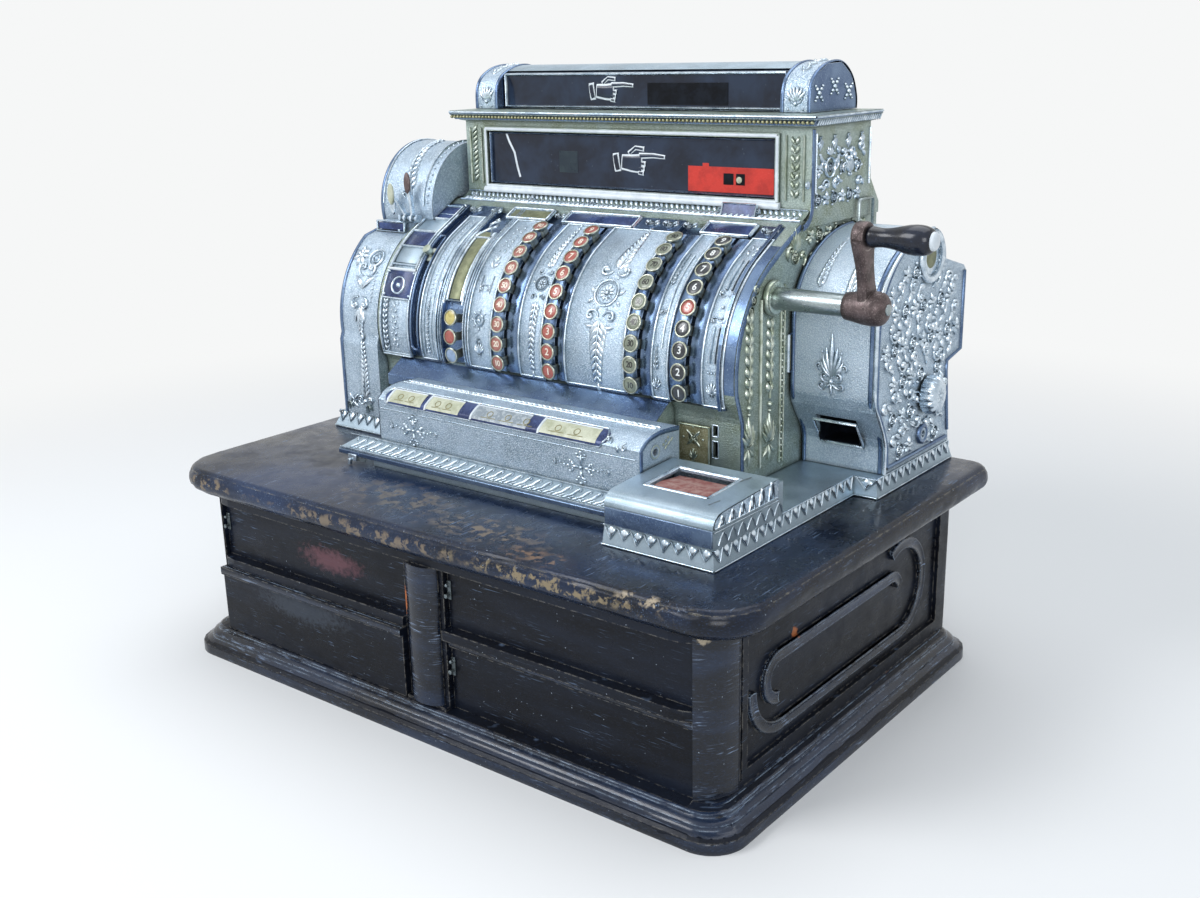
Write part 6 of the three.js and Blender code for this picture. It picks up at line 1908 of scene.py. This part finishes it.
def makeHousing():
    h = housingLook
    dy, dz, dr = h["drum"]
    drum = arcPoints(dy, dz, dr, -12, 180, 60)
    swept = [(-34, 341)] + shieldArc(127.5, -5.5, 52) + [(37, 468)]
    lowerSkin = pushedOut([(-34, 248.4 + 92 * i / 14) for i in range(14)] + swept, 0.35)
    columns = [h["left"] + 0.1, h["left"] + 2, -320, -304, -288, h["right"] - 0.2]
    addPiece("housing_skin", skinAlongX(lowerSkin, columns), "stippledNickel")
    addPiece("drum_skin", skinAlongX(pushedOut(drum, 0.35),
        [h["left"] + 0.1, -320, -300, -280, -264, h["wing"] - 0.2]), "stippledNickel")
    # polished rolls along the outer edge
    for name, path in (("housing", lowerSkin), ("drum", pushedOut(drum, 0.35))):
        addPiece(name + "_edge", rollShape(path, h["left"] + 2.4, 2.7, 1.7, -0.1), "bandWithPaintedReflection",
                 sharp=70)
    middle = -305
    work = Relief()
    # long feather on the flat front, clusters and curls above it
    work.sprig(middle + 6, 268, 74, 88, 12, 19, 34, tipShare=0.4)
    work.bead(middle + 6, 266, 3.4, 2.2)
    for hand in (1, -1):
        work.scroll(middle + 6 + hand * 4, 262, 9, 90 - hand * 100, hand, 3.0, 2.0, 1.2)
        work.leaf(middle - 15, 264, 13, 90 + hand * 40, 5, 1.8)
        work.leaf(middle - 15, 264, 11, -90 + hand * 40, 4.4, 1.8)
    work.rosette(middle - 15, 264, 5, 6)
    work.place("housing_feather", front(-34.3))
    work = Relief()
    curve = roundSurface(shieldCurve["y"], shieldCurve["z"], 127.9, (-9, 52))
    # star cluster, ring of scrolls, curls
    for turn in range(7):
        work.leaf(middle - 15, 86, 15, turn * 51, 5.6, 2.0)
    work.bead(middle - 15, 86, 4, 2.4)
    work.ring(middle + 12, 84, 11, 2.8, 1.8, 26)
    work.ring(middle + 12, 84, 5.5, 2.2, 1.6, 18)
    work.bead(middle + 12, 84, 2.8, 2.0)
    for hand in (1, -1):
        work.scroll(middle + 4 + hand * 3, 60, 13, 90 - hand * 95, hand, 3.4, 2.0, 1.4)
        work.scroll(middle + 2 + hand * 3, 34, 12, 90 - hand * 80, -hand, 3.4, 2.0, 1.4)
        work.leaf(middle + 3, 44, 22, 90 + hand * 30, 7, 2.0, hand * 26)
        work.leaf(middle + 3, 20, 20, -90 + hand * 40, 6, 2.0, -hand * 26)
    work.sprig(middle + 4, 22, 40, -90, 7, 17, 34, tipShare=0.4)
    work.beads(middle + 21, 30, middle + 21, 66, 5, 1.4)
    work.place("housing_curls", curve)
    work = Relief()
    top = roundSurface(dy, dz, dr + 0.4, (-10, 170))
    # drum: one long feather bent over the round, with curls at its foot
    for k in range(12):
        v = 20 + k * 8
        u = middle + 16 - 8 * sin(k / 11 * 2.2)
        size = 19 - 0.9 * k
        for hand in (1, -1):
            work.leaf(u, v, size, 80 - hand * 38, 4.2, 1.9, hand * 30)
        work.bead(u, v + 2, 1.3, 1.6)
    work.ridge([(middle + 16 - 8 * sin(k / 11 * 2.2), 18 + k * 8) for k in range(13)], 2.2, 1.7)
    for hand in (1, -1):
        work.scroll(middle + 14, 12, 8, 90 - hand * 100, hand, 2.4, 1.8, 1.2)
    for x in (-262, -332):
        work.ridge([(x, 4 + 10 * k) for k in range(20)], 1.8, 1.4)
    for k in range(22):
        work.bead(-256, 8 + k * 8.6, 1.5, 1.5)
    work.place("drum_feather", top)
    # shelf between drum and curve with a let-in window, two wire hooks low on the front
    addPiece("shelf_window", boxShape(-328, -284, 33.2, 39, 470, 478), "blueLacquer", round=0.5)
    frame = Relief()
    rectangleRidge(frame, -330, -282, 468, 480, 2.6, 2.2, 6)
    frame.place("shelf_frame", front(34.5))
    wire = Relief()
    for x, z in ((-330, 253), (-296, 252)):
        wire.ridge([(x, z), (x, z + 7), (x + 3.5, z + 10.5), (x + 7, z + 7), (x + 6, z + 3)], 2.2,
                   2.4)
    wire.place("housing_hooks", front(-34.4), "turnedSteel")
    # outer side: a framed panel of rosettes among scrolls and leaves
    work = Relief()
    side = lambda u, v, height: (h["left"] - height, u, v)
    outline = [(-24, 262), (-24, 352), (4, 420), (44, 458)]
    work.ridge(smoothPath(outline, 6), 2.4, 1.6)
    work.ridge(straight(-24, 262, 210, 0, 12), 2.4, 1.6)
    for y, z in ((16, 300), (70, 300), (124, 300), (178, 300), (70, 380), (130, 400)):
        work.rosette(y, z, 8, 8)
        for turn in range(4):
            work.scroll(y + 14 * cos(turn * quarterTurn), z + 14 * sin(turn * quarterTurn), 9,
                        turn * 90 + 90, 1, 2.6, 1.9, 1.25)
            work.leaf(y + 9 * cos(turn * quarterTurn + eighthTurn),
                      z + 9 * sin(turn * quarterTurn + eighthTurn), 14, turn * 90 + 45, 5, 1.9)
    work.place("housing_side_ornament", side)


def makeLevers():
    # pads of the two levers, smooth ovals in brown and cream
    for name, x, y, z, finish in (("lever_long", -280, 43, 527, "brownIron"),
            ("lever_short", -308, 41, 513, "creamPaper")):
        shape = []
        for k in range(9):
            a = -pi / 2 + pi * k / 8
            ring = []
            for i in range(20):
                t = 2 * pi * i / 20
                ring.append((x + 5.3 * cos(t) * max(0.05, cos(a)), y - 3.0 + 2.9 * sin(a),
                             z + 13.3 * sin(t) * max(0.05, cos(a))))
            shape.append(ring)
        addPiece(name + "_pad", loftShape(shape), finish, name, sharp=80)


makeHousing()
makeLevers()
print("left housing made")

# Slip printer: stippled front, carved side plate, window ring, fluted knob, mouth, wire bracket
slipLook = {"left": 238.6, "right": 336, "ring": (193, 464, 26, 20), "knob": (196, 316, 22),
            "keyhole": (190, 273)}


def slipPath():
    ogee = smoothPath([(105, 274), (103.5, 282), (98, 295), (88, 312), (79.5, 325), (77, 334)], 6)
    rise = [(77, 334 + 74 * i / 8) for i in range(1, 8)]
    shoulder = [(197 - 120 * cos(a), 408 + 85 * sin(a))
                for a in (pi / 2 * k / 24 for k in range(25))]
    return [(105, 248.4), (105, 262)] + ogee + rise + shoulder


def makeSlipPrinter():
    s = slipLook
    path = slipPath()
    skin = pushedOut(path, 0.35)
    columns = [s["left"] + 0.4, 242, 252, 263, 311, 322, 330, s["right"] - 0.3]
    # the front takes the lighter stipple copy, painted light for the stronger light on this face
    addPiece("slip_front_skin", skinAlongX(skin, columns,
        lambda x, y, z: 264 < x < 311 and 275 < z < 307.5), "stippleWithPaintedLight")
    back = [(197 + 35 * cos(a), 457 + 36 * sin(a)) for a in (pi / 2 - radians(80) * k / 10
        for k in range(11))]
    addPiece("slip_top_skin", skinAlongX(pushedOut(back, 0.3),
        [s["left"] + 0.4, 270, 300, s["right"] - 0.3]), "satinNickel")
    # dark line and bright roll along the front edge of the side plate, and a dark roll at the inner
    # edge that is a painted shadow line against the cabinet
    rolls = (("slip_edge_roll", s["right"] + 0.2, 2.3, 1.7, "reliefWithPaintedHighlight"),
             ("slip_edge_line", s["right"] - 5, 2.4, 0.7, "bandWithPaintedReflection"),
             ("slip_inner_painted_shadow_roll", s["left"] + 2.8, 2.3, 1.5, "bandWithPaintedReflection"))
    for name, x, wide, rise, finish in rolls:
        addPiece(name, rollShape(path, x, wide, rise, 0.5), finish, sharp=70)
    # mouth: polished lips and a dark lining
    work = Relief()
    work.ridge([(262.4, 1), (262.4, 12), (262.4, 34)], 2.2, 1.6)
    work.ridge([(312.6, 1), (312.6, 12), (312.6, 34)], 2.2, 1.6)
    for v in (0.5, 34.5):
        work.ridge(straight(262, v, 51, 0, 6), 2.2, 1.6)
    work.place("mouth_lips", leaning((0, 104.4, 274.4), (1, 0, 0), (0, -1, 0), -22, 33))
    for name, box in (("back", (264.2, 310.8, 138, 139.5, 276.3, 306.7)),
                      ("floor", (264.2, 310.8, 103, 139, 276.2, 276.8)),
                      ("roof", (264.2, 310.8, 92, 139, 306.3, 306.8)),
                      ("left", (264.2, 264.8, 97, 139, 276.3, 306.7)),
                      ("right", (310.2, 310.8, 97, 139, 276.3, 306.7))):
        addPiece("mouth_" + name, boxShape(*box), "blackPaint", round=0.1)
    # palmette on the front, feather towards the top
    work = Relief()
    middle = 287
    for turn, size in ((-62, 22), (-40, 27), (-19, 33), (19, 33), (40, 27), (62, 22)):
        work.leaf(middle, 352, size, 90 + turn, 5.6, 2.4, -turn * 0.7)
    work.leaf(middle, 350, 50, 90, 6.6, 2.8)
    for hand in (1, -1):
        work.scroll(middle + hand * 2, 347, 10, 90 - hand * 110, hand, 3.0, 2.0, 1.2)
        work.scroll(middle + hand * 15, 358, 6.5, 90 - hand * 60, hand, 2.4, 1.8, 1.1)
        work.scroll(middle + hand * 8, 338, 7, 90 - hand * 100, hand, 2.6, 1.8, 1.2)
        work.leaf(middle, 346, 12, -90 + hand * 40, 4, 1.8, hand * 30)
        work.bead(middle + hand * 11, 378, 1.8, 1.6)
    work.bead(middle, 348, 3.2, 2.6)
    work.leaf(middle, 346, 14, -90, 4, 2)
    work.place("slip_palmette", front(76.6))
    work = Relief()
    work.sprig(middle + 16, 12, 88, 92, 12, 19, 36, tipShare=0.5, bar=2.4)
    work.sprig(middle - 22, 36, 66, 88, 10, 14, 34, tipShare=0.4, bar=2.0)
    for hand in (1, -1):
        work.scroll(middle + 16, 8, 7, 90 - hand * 100, hand, 2.4, 1.8, 1.2)
    work.place("slip_feather", pathSurface([p for p in skin if p[1] > 405]))
    # side plate: dense scrolls, rosettes and beads around ring, knob and lock
    side = wall(s["right"] + 0.1)
    ry, rz, rr, rb = s["ring"]
    ky, kz, kr = s["knob"]
    work = Relief()
    taken = [(ry, rz, rr + 5), (ky, kz, kr + 4), (s["keyhole"][0], s["keyhole"][1], 12)]
    outline = [(118, 262), (118, 286), (98, 330), (94, 406), (106, 440), (132, 463), (166, 474),
               (222, 461), (263, 432), (267, 362), (236, 346), (236, 322), (243, 266)]
    fillWithScrolls(work, outline, taken)
    work.place("slip_side_scrolls", side)
    border = Relief()
    path = smoothPath([(108, 256), (107, 276), (97, 300), (82, 326), (80.5, 350), (80.5, 408),
        (92, 444), (122, 474), (160, 487), (197, 489.5)], 5)
    border.ridge(path, 4.4, 1.8)
    border.ridge(straight(108, 254.5, 146, 0, 14), 4.4, 1.8)
    border.ridge([(256.5, 262), (246.5, 331), (246.5, 343), (281.5, 350), (281.5, 438)], 3.8, 1.7)
    border.place("slip_side_border", side, "bandWithPaintedReflection")
    # window ring with an olive pane, ringed lock hole
    out = Vector((1, 0, 0))
    ring = turnedShape([(0.2, rr + 1.5), (3.6, rr + 1.2), (5.0, rr - 0.8), (5.2, rb + 3),
        (4.2, rb + 0.8), (1.0, rb - 0.2)], (s["right"], ry, rz), out, 56)
    addPiece("slip_window_ring", ring, "reliefWithPaintedHighlight", sharp=50)
    pane = turnedShape([(0.6, rb + 0.2), (1.0, rb * 0.6), (1.4, 0.3)], (s["right"], ry, rz), out,
        48)
    addPiece("slip_window_pane", pane, "oliveEnamel")
    ring = turnedShape([(0.2, 11.5), (2.6, 11.2), (3.6, 9.8), (3.6, 7.4), (2.4, 6.2), (0.6, 5.6)],
                       (s["right"] + 0.2, s["keyhole"][0], s["keyhole"][1]), out, 36)
    addPiece("slip_lock_ring", ring, "bandWithPaintedReflection", sharp=50)
    # wire bracket that stands on the back of the shoulder, beside the cabinet
    wire = Relief()
    wire.ridge([(208, 491), (208, 514), (210, 516.5), (238, 516.5), (240, 514), (240, 478)], 3.0,
               3.0)
    wire.place("wire_bracket", wall(243), "turnedSteel", bold=1.0)


def makeKnob():
    # fluted knob with a petalled end, in place of the plain one
    ky, kz, kr = slipLook["knob"]
    base = slipLook["right"] + 0.6
    rings = []
    profile = ((0.0, 0.72), (1.6, 0.92), (3.2, 1.0), (10.5, 0.97), (14.0, 0.92), (16.0, 0.8),
               (17.4, 0.6), (17.9, 0.3), (18.0, 0.02))
    for along, share in profile:
        ring = []
        for i in range(112):
            a = 2 * pi * i / 112
            groove = 0.5 + 0.5 * cos(14 * a)
            deep = 2.2 if 2 < along < 15 else (0.7 if along >= 15 and share > 0.5 else 0.0)
            r = (kr - 0.6) * share - deep * (1 - groove) ** 1.6
            ring.append((base + along, ky + r * cos(a), kz + r * sin(a)))
        rings.append(ring)
    stub = turnedShape([(-11.5, 5.0), (0.5, 5.0)], (base, ky, kz), Vector((1, 0, 0)), 24)
    knob = addPiece("knob_fluted", joined(loftShape(rings), stub), "reliefWithPaintedHighlight",
        "slip_printer_knob", sharp=34)
    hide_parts("slip_printer_knob")
    work = Relief()
    for turn in range(10):
        a = turn * 36
        work.leaf(ky + 2.4 * cos(radians(a)), kz + 2.4 * sin(radians(a)), 11, a, 4.6, 1.1)
    work.bead(ky, kz, 3.0, 1.4)

    def domed(u, v, h):  # the knob's crowned end
        return base + 17.6 - 0.012 * ((u - ky) ** 2 + (v - kz) ** 2) + h, u, v
    work.place("knob_petals", domed, "reliefWithPaintedHighlight", "slip_printer_knob")


makeSlipPrinter()
makeKnob()
print("slip printer made")

# Crank: steel shaft through a ringed bushing, brown iron hub and arm, black turned handle with
# a white enamel cap
crankLook = {"y": 37, "z": 436, "shaft": 11.3, "hub": (322, 363, 17), "tip": (21.6, 506.3),
             "arm": (338.5, 351.5), "handleEnd": 415}


def makeCrank():
    c = crankLook
    across = Vector((1, 0, 0))
    axis = (0, c["y"], c["z"])
    shaft = turnedShape([(212.2, c["shaft"] - 0.6), (213, c["shaft"]), (322.5, c["shaft"])], axis,
        across, 48)
    h0, h1, hr = c["hub"]
    hub = turnedShape([(h0, 12.3), (h0 + 1.2, 13.6), (h0 + 6, 14.2), (h0 + 13, 15.4),
        (h0 + 20, hr - 0.4), (h1 - 10, hr), (h1 - 4, hr - 0.8), (h1 - 1.2, hr - 2.4),
        (h1 + 1.2, hr - 5.4), (h1 + 2.6, 8), (h1 + 3.2, 4)], axis, across, 56)
    ty, tz = c["tip"]
    run = Vector((0, ty - c["y"], tz - c["z"]))
    length = run.length
    along = run.normalized()
    side = Vector((0, along.z, -along.y))
    a0, a1 = c["arm"]
    rings = []
    for k in range(25):
        t = k / 24
        swell = 1.5 * (t - 0.85) / 0.15 if t > 0.85 else 0  # towards the handle's boss
        wide = 15.0 - 5.0 * sin(pi * min(1, t * 1.15)) * 0.9 + swell
        thick = (a1 - a0) / 2 * (1.0 - 0.14 * sin(pi * t))
        middle = Vector((0, c["y"], c["z"])) + along * (length * t) + across * ((a0 + a1) / 2)
        ring = []
        for i in range(28):
            a = 2 * pi * i / 28
            square = 0.45
            u = copysign(abs(cos(a)) ** square, cos(a))
            w = copysign(abs(sin(a)) ** square, sin(a))
            ring.append(tuple(middle + side * (u * wide) + across * (w * thick)))
        rings.append(ring)
    arm = loftShape(rings)
    boss = turnedShape([(a0, 11.0), (a0 + 0.5, 13.2), (a0 + 2, 14), (a1 - 2, 14), (a1 - 0.5, 13.2),
        (a1, 11.0), (a1, 5.6)], (0, ty, tz), across, 48)
    pin = turnedShape([(a1 - 1, 4.9), (c["handleEnd"] + 2.5, 4.9)], (0, ty, tz), across, 24)
    crank = addPiece("crank_arm", joined(hub, arm, boss), "brownIron", "crank", "crank_iron",
        sharp=42)
    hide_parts("crank")
    addPiece("crank_shaft", shaft, "turnedSteel", "crank", "crank_iron", sharp=42)
    addPiece("crank_pin", pin, "turnedSteel", "crank", "crank_iron", sharp=42)
    button = turnedShape([(h1 + 2, 5.6), (h1 + 4.0, 5.4), (h1 + 4.7, 4.4), (h1 + 5.0, 2.4),
        (h1 + 5.1, 0.3)], axis, across, 40)
    addPiece("crank_button", button, "turnedSteel", "crank", "crank_iron", sharp=40)
    # handle: one smooth turned profile
    start, end = 352.0, c["handleEnd"]
    shares = (0, 0.02, 0.06, 0.14, 0.24, 0.34, 0.44, 0.54, 0.64, 0.74, 0.82, 0.89, 0.94, 0.98, 1.0)
    radii = (9.0, 10.0, 10.1, 9.3, 9.0, 9.6, 10.8, 12.3, 13.6, 14.2, 14.2, 13.6, 12.6, 11.4, 10.2)
    profile = [(start + 0.3 + (end - start - 0.6) * s, r) for s, r in zip(shares, radii)]
    profile = [(profile[0][0], 5.1)] + profile + [(profile[-1][0], 5.1)]
    handle = turnedShape(profile, (0, ty, tz), across, 64)
    grip = addPiece("handle_grip", handle, "ebonite", "crank_handle", "ebonite", sharp=50)
    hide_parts("crank_handle")
    cap = turnedShape([(end + 0.2, 8.8), (end + 2.2, 8.6), (end + 3.8, 7.2), (end + 4.8, 4.6),
        (end + 5.1, 0.3)], (0, ty, tz), across, 40)
    addPiece("handle_cap", cap, "whiteEnamel", "crank", "crank_iron", sharp=50)
    collar = turnedShape([(238.2, 17.4), (240.0, 18.0), (243.4, 17.6), (245.0, 16.0),
        (245.2, 12.3)], axis, across, 48)
    addPiece("crank_bushing_ring", collar, "tarnishedRelief", sharp=45)


makeCrank()
print("crank made")

# CAD nodes and their finishes
nodeFinish = {
    "wooden_carcass": "ebonisedWood", "wooden_top": "ebonisedTop",
    "drawer_upper_left": "ebonisedWood", "drawer_upper_right": "ebonisedWood",
    "drawer_lower_left": "ebonisedWood", "drawer_lower_right": "ebonisedWood",
    "metal_base": "satinNickel", "paper_box_lid": "stippledNickel",
    "cabinet_case": "tarnishedNickel", "keyboard_shield": "bandWithPaintedReflection",
    "date_slider": "tarnishedRelief", "left_housing": "stippledNickel",
    "lever_long": "reliefWithPaintedHighlight", "lever_short": "reliefWithPaintedHighlight", "display_glass": "glassWithPaintedShade",
    "top_sign": "bandWithPaintedReflection", "printer_cover": "stippledNickel",
    "slip_printer": "stippledNickel", "slip_printer_knob": "reliefWithPaintedHighlight", "crank": "brownIron",
    "crank_handle": "ebonite",
}
for name, node in nodes.items():
    finish = materials[nodeFinish.get(name, "brownIron")]
    for i in range(len(node.material_slots)):
        node.material_slots[i].material = finish
